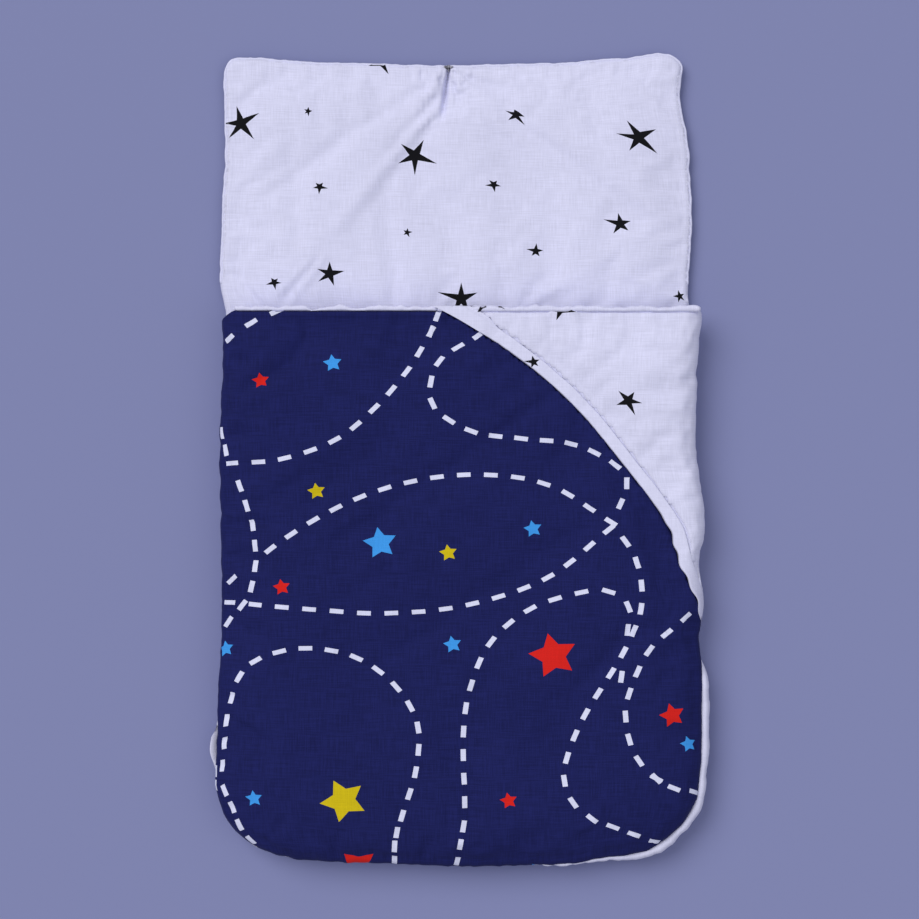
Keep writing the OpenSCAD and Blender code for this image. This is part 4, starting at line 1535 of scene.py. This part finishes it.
def piping_sweep():
    """The rolled edge round the hood, down to the mouth on both sides."""
    ring = base_ring()
    ring = ring[ring[:, 1] > 164]
    start = int(np.argmax(np.hypot(*np.diff(ring, axis=0).T))) + 1
    ring = np.roll(ring, -start, 0)
    x, y = ring.T
    _, nx, ny = base_distance(x, y)
    out = -np.column_stack([nx, ny])
    path = level(ring - out * base_wave(x, y)[:, None])
    thick = 0.75 * (1.0 + 0.15 * lip_fine(x, y)) * taper(arc_length(path), 6.0)
    return path, level(out), round_section(-1.8, thick + 0.1, 6.0, 9.7, 2.2, 14)


piping = sweep("hood_edge_piping", *piping_sweep(), white_lip)

# ---------------------------------------------------------------- zip

def curve_coil(name, r, a0, a1):
    path, out, _ = curve_frame(a0, a1, 1.0, r)
    return coil(name, drape(path + UP * COIL_Z), out, 0.62, 0.2)


HALF_COIL = 1.5  # from the zip's middle to the middle of each half's coil
coil_front = curve_coil("zip_coil_front_curve_wire", ZIP_R - HALF_COIL, 18.6, 62.6)
coil_corner = curve_coil("zip_coil_corner_wire", ZIP_R + HALF_COIL, 20.0, 59.7)


def side_coil(name, z):
    path, out, _ = outline_frame(-176.0, -198.0, 1.0, 3.0)
    return coil(name, drape(path + UP * z), out, 0.5, 0.18)


coil_back, coil_side = (side_coil(node + "_wire", (least(node, Z) + most(node, Z)) / 2)
                        for node in ("zip_coil_back", "zip_coil_front_side"))

# ---------------------------------------------------------------- stitching

STITCH, STITCH_PITCH = 2.3, 3.2


def stitch_row(inset, on_left):
    """The stitches of one row down a side of the hood. Each dips into the cloth at both ends."""
    y = np.arange(170.0, HEAD - 16, 2.0)
    x = base_left(y) + inset if on_left else base_right(y) - inset
    line = base_space(np.column_stack([x, y])) + 0.12 * UP
    lengths = arc_length(line)
    starts = np.arange(1.0, lengths[-1] - 3, STITCH_PITCH)
    dip = np.outer((-0.12, 0.06, 0.06, -0.12), UP)
    return [read_line(line, lengths, np.linspace(start, start + STITCH, 4)) + dip for start in starts]


hood_rows = [row for inset in STITCH_ROWS for on_left in (True, False) for row in stitch_row(inset, on_left)]
stitch_hood = strands("hood_side_stitches", hood_rows, 0.15, thread_mat)


def tack_paths():
    """Threads of the tack: a fan down the tuck, with a few more across its top."""
    x0, y0, _ = base_space(np.array([[-14.0, 373.0]]))[0]
    z0 = HOOD_SEAM_Z + 4.2
    paths = []
    for s in np.linspace(-1, 1, 17):
        s += RNG.uniform(-0.03, 0.03)
        head, tail = 2.4 - 1.0 * abs(s) + RNG.uniform(-0.25, 0.25), -4.4 + 3.4 * abs(s)
        bends = ((4.2, head, -0.6), (4.3, head * 0.5, 0.7), (3.0, tail * 0.35, 0.9), (1.6, tail * 0.8, 0.3),
                 (0.7, tail, -0.7))
        paths.append([(x0 + w * s, y0 + y, z0 + z) for w, y, z in bends])
    for k in range(4):
        y, w = 1.2 - 0.75 * k, 4.6 - 0.9 * k
        paths.append([(x0 + w * q, y0 + y + 0.15 * math.sin(7 * q + k), z0 + 0.95 - 0.9 * q * q)
                      for q in np.linspace(-1, 1, 9)])
    return paths


bar_tack = strands("hood_bar_tack_stitches", tack_paths(), 0.36, tack_mat)

# ---------------------------------------------------------------- CAD pieces that are shown as they are

TAPES = ("zip_tape_back", "zip_tape_front_curve", "zip_tape_front_side", "zip_tape_corner")
HARDWARE = {"zip_slider_body": 0.18, "zip_pull_tab": 0.18, "zip_bottom_stop": 0.1, "zip_top_stop_front": 0.1,
            "zip_top_stop_corner": 0.1}  # each with the width of its rounded edges


def give_material(node, material):
    obj = frame["nodes"][node]
    obj.data.materials.clear()
    obj.data.materials.append(material)
    return obj


for node in TAPES:
    give_material(node, tape_cloth)
for node, width in HARDWARE.items():
    bevel = give_material(node, enamel).modifiers.new("edge", "BEVEL")
    bevel.width = width * MM
    bevel.segments = 3
    bevel.limit_method = "ANGLE"

# ---------------------------------------------------------------- bodies, and hiding the CAD parts that the pieces stand in for

FOLD_START, FOLD_END = (0, (FOLD_Y - 10) * MM, 0), (0, (FOLD_Y + 10) * MM, 0)
PIECES = [
    (front_quilt, "front_flap", "navy_cotton", ("front_shell", "front_lining")),
    (corner_quilt, "corner_flap", "outer_star_cotton", ("corner_shell", "corner_lining")),
    (front_fill, "front_flap", "wadding", ("front_wadding",)),
    (corner_fill, "corner_flap", "wadding", ("corner_wadding",)),
    (back_fill, "back", "wadding", ("back_wadding",)),
    (hood_fill, "hood", "wadding", ("hood_wadding",)),
    (zip_lip, "front_flap", "white_trim", ("zip_placket",)),
    (corner_binding, "corner_flap", "white_trim", ("corner_edge_binding",)),
    (front_binding, "front_flap", "white_trim", ("front_mouth_binding",)),
    (corner_facing, "corner_flap", "outer_star_cotton", ("corner_mouth_facing",)),
    (side_lip, "back", "white_trim", ("side_placket",)),
    (piping, "hood", "white_trim", ("hood_piping",)),
    (coil_front, "front_flap", "zip_coil", ("zip_coil_front_curve",)),
    (coil_corner, "corner_flap", "zip_coil", ("zip_coil_corner",)),
    (coil_back, "back", "zip_coil", ("zip_coil_back",)),
    (coil_side, "front_flap", "zip_coil", ("zip_coil_front_side",)),
    (bar_tack, "hood", "tack_thread", ("hood_bar_tack",)),
    (garage, "front_flap", "white_trim", ()),
    (lip_star, "front_flap", "outer_star_cotton", ()),
    (stitch_hood, "hood", "white_trim", ()),
    *((m, "corner_flap", "outer_star_cotton", ()) for m in hem_tips),
]
for obj, body, slot, nodes in PIECES:
    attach(obj, body)
    if nodes:
        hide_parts(*nodes)
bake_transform(back_quilt)
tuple(FOLD_START)
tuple(FOLD_END)
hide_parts("back_shell", "back_lining", "hood_shell", "hood_lining")
